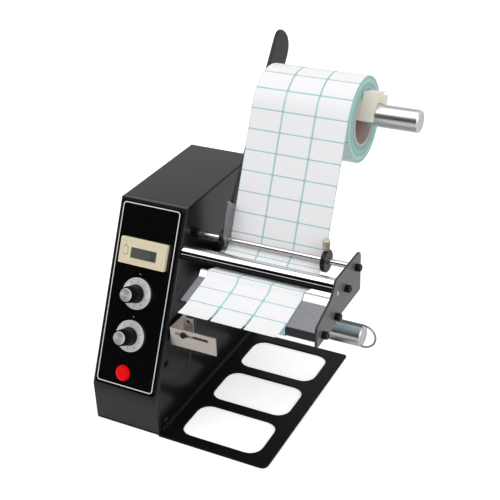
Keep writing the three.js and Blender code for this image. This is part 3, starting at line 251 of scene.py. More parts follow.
def line_curve(name, spots):
    """A curve of straight runs from spot to spot."""
    curve = bpy.data.curves.new(name, "CURVE")
    curve.dimensions = "3D"
    spline = curve.splines.new("POLY")
    spline.points.add(len(spots) - 1)
    for point, spot in zip(spline.points, spots):
        point.co = (*spot, 1)
    return curve


cable_curve = line_curve("sensor_cable_lead", line)
cable_curve.bevel_depth = 0.0011
cable_curve.bevel_resolution = 4
cable_curve.use_fill_caps = True
cable_curve.materials.append(cable_pvc)
cable = placed("sensor_cable_lead", cable_curve)

bodies = frame["record"]["behaviour"]["bodies"]
body_of = {node: body for body, nodes in bodies.items() for node in nodes}


def stand_for(piece, *nodes):
    """The piece takes the place and the body of these nodes, which are hidden."""
    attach(piece, body_of[nodes[0]])
    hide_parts(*nodes)


def goes_with(piece, node):
    """A small piece that sits on a node and moves with it."""
    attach(piece, body_of[node])


stand_for(cable, "sensor_cable")

# The base: one sheet of 2 mm steel with three rounded windows, powder coated gloss black. The coat is thick
# enough to round the cut edges, and has the fine orange peel of a baked powder.


def paint(mesh, material):
    """The whole mesh takes this one material."""
    mesh.materials.clear()
    mesh.materials.append(material)


def softened(node, material, edge=0.3, segments=2):
    """A node's shape as one welded mesh with its sharp edges rounded by edge mm."""
    mesh = frame["nodes"][node].data.copy()
    shape = bmesh.new()
    shape.from_mesh(mesh)
    bmesh.ops.remove_doubles(shape, verts=shape.verts, dist=0.000002)
    bmesh.ops.dissolve_limit(shape, angle_limit=math.radians(0.5), verts=shape.verts, edges=shape.edges)
    for face in shape.faces:
        face.smooth = True
        face.material_index = 0
    shape.to_mesh(mesh)
    shape.free()
    paint(mesh, material)
    piece = placed(f"{node}_finished", mesh)
    rounding = piece.modifiers.new("rounded_edges", "BEVEL")
    rounding.width = edge / 1000
    rounding.segments = segments
    rounding.limit_method = "ANGLE"
    rounding.angle_limit = math.radians(32)
    piece.modifiers.new("flat_faces_stay_flat", "WEIGHTED_NORMAL")
    stand_for(piece, node)
    return piece


# Powder coat on the base: deep black, fairly dull, with orange peel 2.5 mm across, coarser than real
base_black = grained(
    "deep_black_powder_coat", "0A0A0B", 0.4, 0.0, 2.5, "08080A", "0D0D0E", (0.34, 0.46), 0.006,
    plain={"Specular IOR Level": 0.12},
)

softened("base_plate", base_black, 0.5, 3)


def raw(name, points, faces, smooth=False):
    """A plain closed shape with its faces pointing outwards."""
    mesh = bpy.data.meshes.new(name)
    mesh.from_pydata(points, [], faces)
    shape = bmesh.new()
    shape.from_mesh(mesh)
    bmesh.ops.recalc_face_normals(shape, faces=shape.faces)
    for face in shape.faces:
        face.smooth = smooth
    shape.to_mesh(mesh)
    shape.free()
    return placed(name, mesh)


def build(name, points, faces, material, place=None):
    """A mesh piece from points in mm, in the part or in a place of its own there."""
    put = IN_PART @ (place or Matrix())
    piece = raw(name, [put @ Vector(point) for point in points], faces, True)
    piece.data.materials.append(material)
    return piece


def bar_faces(rings, sides, first=0, closed=False):
    """The side faces of a bar whose points run ring by ring, and its two ends or, closed, none."""
    faces = []
    for k in range(rings if closed else rings - 1):
        low, high = first + k * sides, first + (k + 1) % rings * sides
        for i in range(sides):
            j = (i + 1) % sides
            faces.append((low + i, low + j, high + j, high + i))
    ends = [] if closed else [tuple(range(first, first + sides)), tuple(range(high, high + sides))]
    return faces + ends


def crisp(piece, angle=35):
    """Edges that turn by more than the angle stay sharp in the shading."""
    piece.data.set_sharp_from_angle(angle=math.radians(angle))
    return piece


# The fold where the side wall's foot meets the base, a 3 mm radius that catches the light
FOLD_RADIUS, FOLD_FRONT, FOLD_REAR, BASE_SHEET = 3.0, 4.8, 184.6, 2.0
wall_face = HOUSING_WIDTH + 0.02
fold_side = []
for k in range(9):
    angle = math.pi * (1 + k / 16)
    across = wall_face + FOLD_RADIUS * (1 + math.cos(angle))
    fold_side.append((across, BASE_SHEET + FOLD_RADIUS * (1 + math.sin(angle))))
fold_side.append((wall_face, BASE_SHEET))
points = [(x, y, z) for y in (FOLD_FRONT, FOLD_REAR) for x, z in fold_side]
base_fold = crisp(build("base_fold", points, bar_faces(2, len(fold_side)), base_black))
goes_with(base_fold, "base_plate")

# The housing's cover: left side, top and rear folded from one 1.2 mm sheet, with bends of about its own
# thickness, in a glossier black powder coat than the base.

# Powder coat on the housing: black, glossy, with faint orange peel 4 mm across
powder_black = grained(
    "gloss_black_powder_coat", "0E0E0F", 0.29, 0.0, 4.0, "0D0D0E", "101011", (0.27, 0.31), 0.002,
    plain={"Specular IOR Level": 0.28},
)

softened("housing_cover", powder_black, 0.55, 3)

# The side wall: a 2 mm plate that carries the whole mechanism, screwed under the cover. One black button
# head screw shows low at its front, and the cover has its pair on the left side.

# The wall's own coat: the same black, rubbed to satin
satin_black = grained(
    "satin_black_powder_coat", "0C0C0D", 0.25, 0.0, 4.0, "0A0A0B", "0F0F10", (0.23, 0.27), 0.002,
    plain={"Specular IOR Level": 0.36},
)

softened("side_wall", satin_black, 0.3)


def turned(name, profile, material, place=None, sides=48, closed=False):
    """A turned piece from pairs of place along its axis (+Z) and radius, which may be a function of angle."""
    points, rings = [], []
    for along, radius in profile:
        if radius == 0:
            rings.append([len(points)])
            points.append((0, 0, along))
            continue
        rings.append([len(points) + i for i in range(sides)])
        for i in range(sides):
            angle = 2 * math.pi * i / sides
            reach = radius(angle) if callable(radius) else radius
            points.append((reach * math.cos(angle), reach * math.sin(angle), along))
    if closed:
        rings.append(rings[0])
    faces = []
    for low, high in zip(rings, rings[1:]):
        for i in range(sides):
            j = (i + 1) % sides
            if len(low) == 1 and len(high) == 1:
                continue
            if len(low) == 1:
                faces.append((low[0], high[i], high[j]))
            elif len(high) == 1:
                faces.append((low[i], low[j], high[0]))
            else:
                faces.append((low[i], low[j], high[j], high[i]))
    return crisp(build(name, points, faces, material, place))


def along_x(x, y, z):
    """A place whose own +Z runs along the part's +X."""
    return Matrix.Translation((x, y, z)) @ Matrix.Rotation(math.pi / 2, 4, "Y")


def hexagon(flats):
    """The radius of a hexagon socket, by angle, for its width across flats."""
    return lambda angle: flats / 2 / math.cos((angle + math.pi / 6) % (math.pi / 3) - math.pi / 6)


# Black oxide on hardened steel: almost black, oily satin
black_oxide = grained("black_oxide_steel", "1B1A1C", 0.35, 0.6, 0.8, "151416", "242225", (0.28, 0.45), 0.01)

button_head = [
    (0.02, 0), (0.02, 3.0), (0.5, 2.95), (1.1, 2.5), (1.5, 1.7), (1.55, hexagon(2.2)),
    (0.7, hexagon(2.1)), (0.7, 0),
]
wall_screw = turned("wall_screw", button_head, black_oxide, along_x(HOUSING_WIDTH, 12.8, 8.2), 24)
goes_with(wall_screw, "side_wall")

# The front: plinth and sloping face folded as one tray from 1.5 mm sheet, in a slightly greyer enamel. A seam
# runs down beside it where it meets the side wall.

# Enamel over steel: dark grey, glossy, evenly sprayed, with faint orange peel
grey_enamel = grained("dark_grey_enamel", "1A1A1C", 0.3, 0.0, 3.0, "1A1A1C", "1F1F21", (0.28, 0.34), 0.005)

softened("front_panel", grey_enamel, 0.7, 3)

# The overlay: a gloss black plate over the sloping face, screen printed with one white border line and an
# index dot above each dial. The places for words stay bare.

# The slope runs back over the plinth and up to the housing's top
PLINTH_HEIGHT, SLOPE_RUN = 39.6, 75.3
PANEL_ANGLE = math.atan2(HOUSING_HEIGHT - PLINTH_HEIGHT, SLOPE_RUN)
ON_PANEL = Matrix.Translation((0, 0, PLINTH_HEIGHT)) @ Matrix.Rotation(PANEL_ANGLE, 4, "X")
OVERLAY_TOP = 1.1


def rounded(u0, v0, u1, v1, radius, steps=6):
    """The corners of a rounded rectangle, anticlockwise."""
    spots = []
    for cu, cv, first in [
        (u1 - radius, v1 - radius, 0),
        (u0 + radius, v1 - radius, 1),
        (u0 + radius, v0 + radius, 2),
        (u1 - radius, v0 + radius, 3),
    ]:
        for k in range(steps + 1):
            angle = (first + k / steps) * math.pi / 2
            spots.append((cu + radius * math.cos(angle), cv + radius * math.sin(angle)))
    return spots


def slab(name, outline, bottom, top, material, place=None, hole=None):
    """A flat piece of an outline, closed all round; a hole has as many corners as the outline."""
    loops = [(outline, bottom), (outline, top)]
    if hole:
        loops += [(hole, top), (hole, bottom)]
    points = [(u, v, level) for loop, level in loops for u, v in loop]
    faces = bar_faces(len(loops), len(outline), closed=bool(hole))
    return crisp(build(name, points, faces, material, place))


# Acrylic overlay: printed black on the back, so the gloss face is smooth and very dark
gloss_acrylic = grained("gloss_black_acrylic", "0A0A0B", 0.12, 0.0, 9.0, "080809", "0D0D0E", (0.1, 0.17), 0)
softened("panel_overlay", gloss_acrylic, 0.25)

# Screen ink: flat white, thinly printed
white_ink = grained("white_screen_ink", "E2E2E4", 0.55, 0.0, 0.7, "DCDCDE", "E8E8E9", None, 0.005)

LINE_WIDTH, LINE_CORNER, INK_SHEET = 0.9, 3.2, 0.04
left, low, right, high = 3.5, 4.4, 62.7, 170.5
inner = (left + LINE_WIDTH, low + LINE_WIDTH, right - LINE_WIDTH, high - LINE_WIDTH)
border = slab(
    "overlay_border",
    rounded(left, low, right, high, LINE_CORNER),
    OVERLAY_TOP,
    OVERLAY_TOP + INK_SHEET,
    white_ink,
    ON_PANEL,
    rounded(*inner, LINE_CORNER - LINE_WIDTH),
)
goes_with(border, "panel_overlay")


def printed_dot(name, radius, ink, place, sides):
    """A dot of ink, a disc with hardly any height."""
    return turned(name, [(0, 0), (0, radius), (0.05, radius), (0.05, 0)], ink, place, sides)


# Each knob's place on the panel, across and up, and how far over it its dot is printed
KNOBS = [("length", 32.0, 90.7), ("speed", 32.0, 51.5)]
DOT_RISE = 17.7
for name, across, up in KNOBS:
    over_dial = ON_PANEL @ Matrix.Translation((across, up + DOT_RISE, OVERLAY_TOP))
    goes_with(printed_dot(f"{name}_index_dot", 0.42, white_ink, over_dial, 16), "panel_overlay")

# The counter: a snap-in panel meter moulded in cream ABS, with a raised inner frame, a reset button at its
# left and a small liquid crystal window. Its figure is a plain nought at the right-hand end.

# ABS: ivory, satin mould finish, with a little scatter under the surface
ivory_abs = grained(
    "ivory_abs", "E7DCBD", 0.42, 0.0, 2.0, "E3D7B6", "EBE1C5", (0.36, 0.48), 0.01,
    plain={"Subsurface Weight": 0.08, "Subsurface Scale": 0.002},
)

softened("counter_body", ivory_abs, 0.6, 3)
softened("counter_button", ivory_abs, 0.4, 3)

# The bezel stands 4 mm proud of its seat, 0.3 mm over the overlay
COUNTER_FACE = OVERLAY_TOP + 0.3 + 4.0
ON_COUNTER = ON_PANEL @ Matrix.Translation((33.2, 127.7, COUNTER_FACE))
for name, outer, inner, corners, height in [
    ("inner_frame", (-21.6, -9.7, 21.6, 9.7), (-20.9, -9.0, 20.9, 9.0), (1.6, 1.0), 0.28),
    ("window_rim", (-12.6, -6.5, 15.4, 4.5), (-11.9, -5.8, 14.7, 3.8), (0.9, 0.4), 0.35),
]:
    outline, hole = rounded(*outer, corners[0]), rounded(*inner, corners[1])
    rim = slab(f"counter_{name}", outline, -0.02, height, ivory_abs, ON_COUNTER, hole)
    goes_with(rim, "counter_body")
for name, u0, v0, u1, v1 in [("upper", -9.0, 6.6, 3.0, 8.2), ("lower", -9.0, -8.4, 3.0, -6.9)]:
    # Bare fields, raised by a hair, where the meter's lettering would be
    field = slab(f"counter_field_{name}", rounded(u0, v0, u1, v1, 0.4), -0.01, 0.06, ivory_abs, ON_COUNTER)
    goes_with(field, "counter_body")

# Printing ink: dark warm grey, matt
dark_dot = grained("dark_grey_ink", "3B3833", 0.6, 0.0, 0.6, "34312C", "45413B", None, 0)
by_button = ON_COUNTER @ Matrix.Translation((-17.6, 5.2, 0))
goes_with(printed_dot("counter_reset_dot", 0.55, dark_dot, by_button, 12), "counter_body")

# Liquid crystal behind glass: grey-green, glossy, slightly uneven
crystal_glass = grained(
    "liquid_crystal_glass", "565B54", 0.1, 0.0, 6.0, "50554F", "5F645C", None, 0,
    plain={"Coat Weight": 0.4, "Coat Roughness": 0.05},
)
paint(frame["nodes"]["counter_window"].data, crystal_glass)

# Liquid crystal where it is switched on: near-black
crystal_dark = grained("liquid_crystal_segment", "20231F", 0.3, 0.0, 0.5, "1C1F1B", "272A26", None, 0)
# The nought: six bars, each with pointed ends, leaning a little to the right
bar_length, bar_width, lean = 3.0, 0.75, 0.1
end, side = bar_length / 2, bar_width / 2
bar = [(-end, 0), (side - end, -side), (end - side, -side), (end, 0), (end - side, side), (side - end, side)]
# The bars stand a little apart at their points
step = bar_length + 0.15
half = step / 2
level_bars = [(0, -step, False), (0, step, False)]
upright_bars = [(u, v, True) for u, v in [(-half, half), (half, half), (-half, -half), (half, -half)]]
for i, (u, v, upright) in enumerate(level_bars + upright_bars):
    shape = [(y, x) if upright else (x, y) for x, y in bar]
    leaning = [(10.6 + u + x + lean * (v + y), -1.0 + v + y) for x, y in shape]
    segment = slab(f"counter_figure_{i + 1}", leaning, 0.0, 0.03, crystal_dark, ON_COUNTER)
    goes_with(segment, "counter_window")

# The knobs: each has a spun aluminium dial with printed figures, a ribbed black grip and a bright cap whose
# face was turned, all on one potentiometer shaft behind the panel.


SOCKET_KINDS = [
    (bpy.types.Object, "NodeSocketObject"),
    (bpy.types.Material, "NodeSocketMaterial"),
    (int, "NodeSocketInt"),
    (float, "NodeSocketFloat"),
]


def new_tree(name, values):
    """A geometry node tree with an input for each named value; returns it and its inputs."""
    tree = bpy.data.node_groups.new(name, "GeometryNodeTree")
    tree.is_modifier = True
    for label, value in values.items():
        kind = next(socket for sort, socket in SOCKET_KINDS if isinstance(value, sort))
        tree.interface.new_socket(label, in_out="INPUT", socket_type=kind)
    tree.interface.new_socket("Geometry", in_out="OUTPUT", socket_type="NodeSocketGeometry")
    return tree, add_node(tree, "NodeGroupInput").outputs


def flattened(source):
    """The plain mesh of an object as its text or its tree makes it; the object is then removed."""
    bpy.context.view_layer.update()
    mesh = bpy.data.meshes.new_from_object(source.evaluated_get(bpy.context.evaluated_depsgraph_get()))
    bpy.data.objects.remove(source)
    return mesh


def settled(name, mesh, material, place=None):
    """A mesh drawn in mm, as a piece of one material in its place."""
    mesh.name = name
    mesh.transform(IN_PART @ (place or Matrix()))
    paint(mesh, material)
    return placed(name, mesh)


def grown(name, tree, given, shape, values, place=None):
    """The plain mesh that a node tree makes, put in its place; the tree's source pieces are then removed."""
    whole = add_node(tree, "GeometryNodeRealizeInstances", {"Geometry": shape})
    painted = add_node(tree, "GeometryNodeSetMaterial", {"Geometry": whole, "Material": given["Finish"]})
    add_node(tree, "NodeGroupOutput", {"Geometry": painted})
    holder = placed(f"{name}_tree", bpy.data.meshes.new(f"{name}_tree"))
    modifier = holder.modifiers.new("tree", "NODES")
    modifier.node_group = tree
    for item in tree.interface.items_tree:
        if item.name in values:
            modifier[item.identifier] = values[item.name]
    mesh = flattened(holder)
    for value in values.values():
        if isinstance(value, bpy.types.Object):
            bpy.data.objects.remove(value)
    return settled(name, mesh, values["Finish"], place)


def circle_row(name, piece, count, radius, material, place, start=0.0):
    """Copies of a small piece set around a circle by a node tree, as one mesh."""
    values = {"Piece": piece, "Count": count, "Radius": radius, "Start": start, "Finish": material}
    tree, given = new_tree(f"{name}_ring", values)
    turn = add_node(tree, "ShaderNodeMath", {0: 2 * math.pi, 1: given["Count"]}, operation="DIVIDE")
    number = add_node(tree, "GeometryNodeInputIndex")
    turns = {0: number, 1: turn, 2: given["Start"]}
    angle = add_node(tree, "ShaderNodeMath", turns, operation="MULTIPLY_ADD")
    cosine = add_node(tree, "ShaderNodeMath", {0: angle}, operation="COSINE")
    sine = add_node(tree, "ShaderNodeMath", {0: angle}, operation="SINE")
    x = add_node(tree, "ShaderNodeMath", {0: cosine, 1: given["Radius"]}, operation="MULTIPLY")
    y = add_node(tree, "ShaderNodeMath", {0: sine, 1: given["Radius"]}, operation="MULTIPLY")
    spot = add_node(tree, "ShaderNodeCombineXYZ", {"X": x, "Y": y})
    spots = add_node(tree, "GeometryNodePoints", {"Count": given["Count"], "Position": spot})
    source = add_node(tree, "GeometryNodeObjectInfo", {"Object": given["Piece"]}).outputs["Geometry"]
    facing = add_node(tree, "ShaderNodeCombineXYZ", {"Z": angle})
    copies = {"Points": spots, "Instance": source, "Rotation": facing}
    set_out = add_node(tree, "GeometryNodeInstanceOnPoints", copies)
    return grown(name, tree, given, set_out, values, place)


def rib(name, radius, bottom, top, sides=6):
    """A round rib along +Z with domed ends, as a source piece; part of it sinks in where it is set."""
    levels = [(bottom, 0.45), (bottom + radius, 1.0), (top - radius, 1.0), (top, 0.45)]
    turns = [2 * math.pi * i / sides for i in range(sides)]
    points = [(radius * s * math.cos(a), radius * s * math.sin(a), z) for z, s in levels for a in turns]
    return raw(name, points, bar_faces(len(levels), sides), True)


def centred_on(tree, coords, place):
    """Object coordinates moved and turned to a place in the part, in metres."""
    spot = (IN_PART @ place).to_translation()
    moved = {"Vector": coords, "Location": spot, "Rotation": place.to_euler()}
    return add_node(tree, "ShaderNodeMapping", moved, vector_type="TEXTURE").outputs[0]


def lathe_turned(name, code, roughness, metallic, place, spacing, low, high, fan):
    """A turned finish with rings of a real spacing in mm about the axis of a place.

    Its roughness runs from low to high over them, their relief is 3 micrometres, and its sheen fans out from
    the axis as on real turned faces. The texture draws 20 rings to its unit.
    """
    made, tree, shader, coords = new_material(name, code, roughness, metallic)
    waves = {
        "Vector": centred_on(tree, coords, place),
        "Scale": 1000 / spacing / 20,
        "Distortion": 0.6,
        "Detail": 2.0,
        "Detail Scale": 3.0,
    }
    rings = add_node(tree, "ShaderNodeTexWave", waves, wave_type="RINGS", rings_direction="Z").outputs["Fac"]
    bump = add_node(tree, "ShaderNodeBump", {"Height": rings, "Strength": 0.35, "Distance": 0.000003})
    tree.links.new(bump.outputs[0], shader.inputs["Normal"])
    gloss = add_node(tree, "ShaderNodeMapRange", {"Value": rings, "To Min": low, "To Max": high})
    tree.links.new(gloss.outputs[0], shader.inputs["Roughness"])
    spot = (IN_PART @ place).to_translation()
    axis = place.to_3x3() @ Vector((0, 0, 1))
    out = add_node(tree, "ShaderNodeVectorMath", {0: coords, 1: spot}, operation="SUBTRACT")
    along = add_node(tree, "ShaderNodeVectorMath", {0: axis, 1: out}, operation="CROSS_PRODUCT")
    tangent = add_node(tree, "ShaderNodeVectorMath", {0: along}, operation="NORMALIZE")
    tree.links.new(tangent.outputs[0], shader.inputs["Tangent"])
    shader.inputs["Anisotropic"].default_value = fan
    return made


# Phenolic: black, moulded, faintly shiny on its ribs
black_phenolic = grained(
    "black_phenolic", "09090A", 0.45, 0.0, 1.0, "08080A", "0C0C0D", (0.4, 0.5), 0.01,
    plain={"Specular IOR Level": 0.1},
)

DIAL_TOP, FIGURE_RADIUS, FIGURE_SIZE, INK_HEIGHT = 3.2, 11.2, 2.4, 0.03
RIB_BOTTOM, RIB_TOP, RIB_TAPER = 6.2, 19.4, 0.085
TICK = [(12.9, -0.09), (13.8, -0.09), (13.8, 0.09), (12.9, 0.09)]
for name, across, up in KNOBS:
    centre = ON_PANEL @ Matrix.Translation((across, up, 0))
    # Spun aluminium: bright, with fine rings left by the lathe tool
    dial_metal = lathe_turned(
        f"{name}_spun_aluminium", "F2F3F5", 0.38, 0.4, centre, 0.3, 0.38, 0.46, 0.8
    )
    dial = [(1.4, 3.3), (1.4, 14.3), (1.7, 14.5), (2.9, 14.5), (3.2, 14.2), (3.2, 3.3)]
    stand_for(turned(f"{name}_dial_disc", dial, dial_metal, centre, 96, True), f"{name}_dial")

    points = [(x, y, z) for z in (-INK_HEIGHT, INK_HEIGHT) for x, y in TICK]
    tick = raw("tick", points, bar_faces(2, len(TICK)))
    on_dial = centre @ Matrix.Translation((0, 0, DIAL_TOP))
    ticks = circle_row(f"{name}_dial_ticks", tick, 50, 0.0, dark_dot, on_dial)
    goes_with(ticks, f"{name}_dial")
    for figure in range(10):
        text = bpy.data.curves.new("figure", "FONT")
        text.body = str(figure)
        text.size = FIGURE_SIZE
        text.extrude = INK_HEIGHT
        text.align_x = "CENTER"
        text.align_y = "CENTER"
        flat = flattened(placed("figure", text))
        turn = Matrix.Rotation(math.radians(90 - 36 * figure), 4, "Z")
        spot = Matrix.Translation((FIGURE_RADIUS, 0, DIAL_TOP - 0.01))
        upright = spot @ Matrix.Rotation(-math.pi / 2, 4, "Z")
        printed = settled(f"{name}_dial_figure_{figure}", flat, dark_dot, centre @ turn @ upright)
        goes_with(printed, f"{name}_dial")

    grip = [
        (-7.0, 0), (-7.0, 3.0), (3.5, 3.0), (3.5, 8.1), (3.9, 8.5), (5.4, 8.5), (5.9, 7.9),
        (19.2, 7.0), (19.8, 6.9), (20.0, 6.6), (20.0, 2.7), (16.7, 2.7), (16.7, 0),
    ]
    stand_for(turned(f"{name}_grip_body", grip, black_phenolic, centre, 64), f"{name}_grip")
    ridge = rib("grip_rib", 0.42, RIB_BOTTOM, RIB_TOP)
    ribs = circle_row(f"{name}_grip_ribs", ridge, 36, 7.55, black_phenolic, centre)
    taper = (IN_PART @ centre).inverted()
    for vertex in ribs.data.vertices:
        local = taper @ vertex.co
        share = (local.z - RIB_BOTTOM) / (RIB_TOP - RIB_BOTTOM)
        local.x *= 1 - RIB_TAPER * share
        local.y *= 1 - RIB_TAPER * share
        vertex.co = IN_PART @ centre @ local
    goes_with(ribs, f"{name}_grip")

    # Turned aluminium cap: satin, with fine rings that fan the light
    cap_metal = lathe_turned(f"{name}_turned_cap", "E6E6E9", 0.36, 0.8, centre, 0.4, 0.32, 0.42, 0.85)
    cap = [
        (17.0, 0), (17.0, 2.4), (20.3, 2.4), (20.3, 5.7), (20.5, 5.9), (20.9, 5.9), (21.15, 5.6),
        (21.25, 0),
    ]
    stand_for(turned(f"{name}_cap_disc", cap, cap_metal, centre, 64), f"{name}_cap")

# Zinc plated steel of the potentiometers behind the panel: dull, faintly blotched
zinc_plate = grained("zinc_plated_steel", "A9A9A8", 0.38, 0.9, 3.0, "9C9C9B", "B8B8B6", (0.3, 0.5), 0.01)
for node in ("length_pot", "speed_pot"):
    softened(node, zinc_plate, 0.25)

# The power lamp: a red domed lens pressed into a hole in the panel, over a small bulb. Its rim stands one low
# step above the overlay.

# Acrylic lens: saturated red with a little light of its own
red_acrylic = grained(
    "lit_red_acrylic", "A60002", 0.45, 0.0, 2.5, "9C0002", "B00204", (0.4, 0.5), 0.01,
    plain={"Specular IOR Level": 0.12, "Emission Color": linear("FF0004"), "Emission Strength": 0.42},
)
lens = [(-17, 0), (-17, 5.4), (1.4, 5.4), (1.4, 7.0), (1.6, 7.3), (2.2, 7.3), (2.5, 7.05), (2.5, 6.6)]
DOME_FOOT, DOME_HEIGHT, DOME_RADIUS = 2.5, 3.9, 6.5
for k in range(1, 10):
    turn = math.pi / 2 * k / 10
    lens.append((DOME_FOOT + DOME_HEIGHT * math.sin(turn), DOME_RADIUS * math.cos(turn)))
lens.append((DOME_FOOT + DOME_HEIGHT, 0))
on_lamp = ON_PANEL @ Matrix.Translation((30.2, 16.6, 0))
stand_for(turned("power_lamp_lens", lens, red_acrylic, on_lamp, 48), "power_lamp")

# The rods between the side wall and the end plate: ground steel, drilled at the ends, each held by a black
# socket head bolt. The guide rod sits in a black boss at the wall and has a small cross hole beside it.

# Ground steel: bright, with fine scratches around each rod
ground_steel = grained(
    "ground_steel", "CFCDCB", 0.17, 1.0, 0.5, "C4C2C0", "D8D6D4", (0.1, 0.26), 0.006, (6, 0.5, 0.5)
)

END_PLATE, BOLT_DEPTH, BOLT_HOLE, CHAMFER = 219.5, 8.3, 1.9, 0.25
# Each rod's place (y, z)
GUIDE_ROD, ROLLER, REAR_TIE, FRONT_TIE = (88, 167), (65.5, 159), (44.5, 143.7), (18, 142)
RODS = [
    ("guide_rod", HOUSING_WIDTH, 2.75, GUIDE_ROD),
    ("roller_axle", HOUSING_WIDTH, 3.2, ROLLER),
    ("tie_rod_front", 95.2, 3.0, FRONT_TIE),
    ("tie_rod_rear", 95.2, 3.0, REAR_TIE),
]
for node, start, radius, place in RODS:
    length = END_PLATE - start
    rod = [
        (BOLT_DEPTH, 0),
        (BOLT_DEPTH, BOLT_HOLE),
        (0, BOLT_HOLE),
        (0, radius - CHAMFER),
        (CHAMFER, radius),
        (length - CHAMFER, radius),
        (length, radius - CHAMFER),
        (length, BOLT_HOLE),
        (length - BOLT_DEPTH, BOLT_HOLE),
        (length - BOLT_DEPTH, 0),
    ]
    stand_for(turned(f"{node}_ground", rod, ground_steel, along_x(start, *place), 32), node)

boss = [(0, 3.05), (0, 4.3), (0.2, 4.5), (4.1, 4.5), (4.5, 4.1), (4.5, 3.05)]
boss_ring = turned("guide_rod_boss_ring", boss, black_oxide, along_x(HOUSING_WIDTH, *GUIDE_ROD), 32, True)
stand_for(boss_ring, "guide_rod_boss")
toward_front = Matrix.Translation((75.6, *GUIDE_ROD)) @ Matrix.Rotation(math.radians(50), 4, "X")
pin_hole = [(0, 0), (0, 0.8), (2.77, 0.8), (2.77, 0)]
cross_hole = turned("guide_rod_cross_hole", pin_hole, black_oxide, toward_front, 16)
goes_with(cross_hole, "guide_rod")

# The feed roller: a hard chromed steel tube that turns on its axle and draws the labels forward. A fine
# groove is turned in it at the deck's left edge.

# Hard chrome: a mirror, with hair-fine grinding marks around the tube
hard_chrome = grained(
    "hard_chrome", "DDDDE0", 0.07, 1.0, 1.2, "D6D6DA", "E4E4E6", (0.04, 0.12), 0.003, (5, 0.5, 0.5)
)
roller = [
    (0, 3.31), (0, 6.1), (0.3, 6.4), (28.7, 6.4), (28.85, 6.15), (29.15, 6.15), (29.3, 6.4),
    (150.7, 6.4), (151, 6.1), (151, 3.31),
]
roller_tube = turned("chrome_roller_tube", roller, hard_chrome, along_x(68, *ROLLER), 64, True)
stand_for(roller_tube, "chrome_roller")

# The hold-down bar: a slim black bar close in front of the roller, stepped into the end plate, that keeps
# the labels down on the lip. It is drawn near the top of its room, as slim as it looks. Its near-black
# also paints the shaded band under the roller.

hold_down = [(0, 0), (0, 1.2), (0.2, 1.4), (151.2, 1.4), (151.4, 1.2), (151.4, 0.6), (152.9, 0.6), (152.9, 0)]
# Black sleeve on the bar: dull, smooth plastic, made near-black so that it also paints shade and dark
# reflection
sleeve_black_and_painted_shade = grained(
    "dull_black_sleeve_and_painted_shade", "060607", 0.5, 0.0, 1.5, "050506", "090909", (0.45, 0.55), 0.006,
    plain={"Specular IOR Level": 0.1},
)
bar = turned("hold_down_bar_black", hold_down, sleeve_black_and_painted_shade, along_x(67.8, 57.11, 158.07), 32)
stand_for(bar, "hold_down_bar")

# The bolts: black socket head screws, knurled round their heads. Four clamp the end plate to the rods, and
# one holds the deck.


def socket_bolt(name, place):
    """A socket head bolt as a turned head, its knurl, and its shank to its full depth."""
    screw = [
        (-10.0, 0), (-10.0, 1.3), (-9.6, 1.6), (0, 1.6), (0, 3.0), (0.3, 3.15), (4.5, 3.15),
        (5.0, 2.75), (5.0, hexagon(2.9)), (2.6, hexagon(2.9)), (2.6, 0),
    ]
    stand_for(turned(f"{name}_screw", screw, black_oxide, place, 24), name)
    knurl = circle_row(f"{name}_knurl", rib("knurl_rib", 0.2, 0.35, 4.4, 4), 28, 3.1, black_oxide, place)
    goes_with(knurl, name)


for i, place in enumerate([GUIDE_ROD, ROLLER, REAR_TIE, FRONT_TIE]):
    socket_bolt(f"end_bolt_{i + 1}", along_x(END_PLATE + 2, *place))

# The end plate: 2 mm sheet coated mid grey, its cut edges darker where the coat is thin. A white plug in the
# small slot beside the roller is painted light, for the light that shows through the slot.

# Grey coating: satin, slightly metallic, with a fine grain
grey_coating = grained("grey_powder_coat", "5E5E60", 0.4, 0.15, 0.9, "59595B", "656567", (0.34, 0.48), 0.02)
# Bare cut edge under thin coat: near-black
dark_edge = grained("dark_cut_edge", "1C1C1D", 0.5, 0.0, 0.7, "171718", "252526", (0.4, 0.6), 0.02)
# Painted light in the slot: a white, matt plug
slot_painted_light_white = grained("white_slot_painted_light", "F4F3F0", 0.5, 0.0, 0.8, "EFEEEA", "F8F7F5", (0.42, 0.56), 0.01)
end_plate = softened("end_plate", grey_coating, 0.2)
end_plate.data.materials.append(dark_edge)
for face in end_plate.data.polygons:
    if abs(face.normal.x) < 0.5:
        face.material_index = 1

# In the slot an outline lies in the plate's face, and its thickness runs along the part's +X
in_slot = Matrix(((0, 0, 1, END_PLATE), (1, 0, 0, 49.2), (0, 1, 0, 163.2), (0, 0, 0, 1)))
slot_painted_light_piece = slab(
    "end_plate_slot_plug", rounded(-0.95, -2.15, 0.95, 2.15, 0.9), 0.05, 2.02, slot_painted_light_white, in_slot
)
goes_with(slot_painted_light_piece, "end_plate")

# The peeling deck: one polished sheet that rises to a lip, carries the labels down its slope and folds under
# at the peeling edge. A black socket bolt holds its left cheek.

# Polished sheet steel: grey-violet, with long faint polishing lines across
polished_sheet = grained(
    "polished_sheet_steel", "C8C5CB", 0.18, 1.0, 0.9, "C4C1C7", "CDCAD0", (0.14, 0.22), 0.003, (0.08, 1, 1)
)
# Its fold under the peeling edge: the same sheet, coloured near-black as painted shade and painted reflection
painted_shade_underside = grained("deck_fold_painted_shade", "2B282C", 0.45, 0.6, 1.5, "252226", "343135", (0.38, 0.52), 0.01)
# In metres, where the fold under the edge begins
FOLD_EDGE = -0.0868
deck = softened("deck_plate", polished_sheet, 0.25)
deck.data.materials.append(painted_shade_underside)
# Every face under the fold takes the painted shade
for face in deck.data.polygons:
    if face.center.y < FOLD_EDGE:
        face.material_index = 1
socket_bolt("deck_bolt", Matrix.Translation((94, *FRONT_TIE)) @ Matrix.Rotation(-math.pi / 2, 4, "Y"))

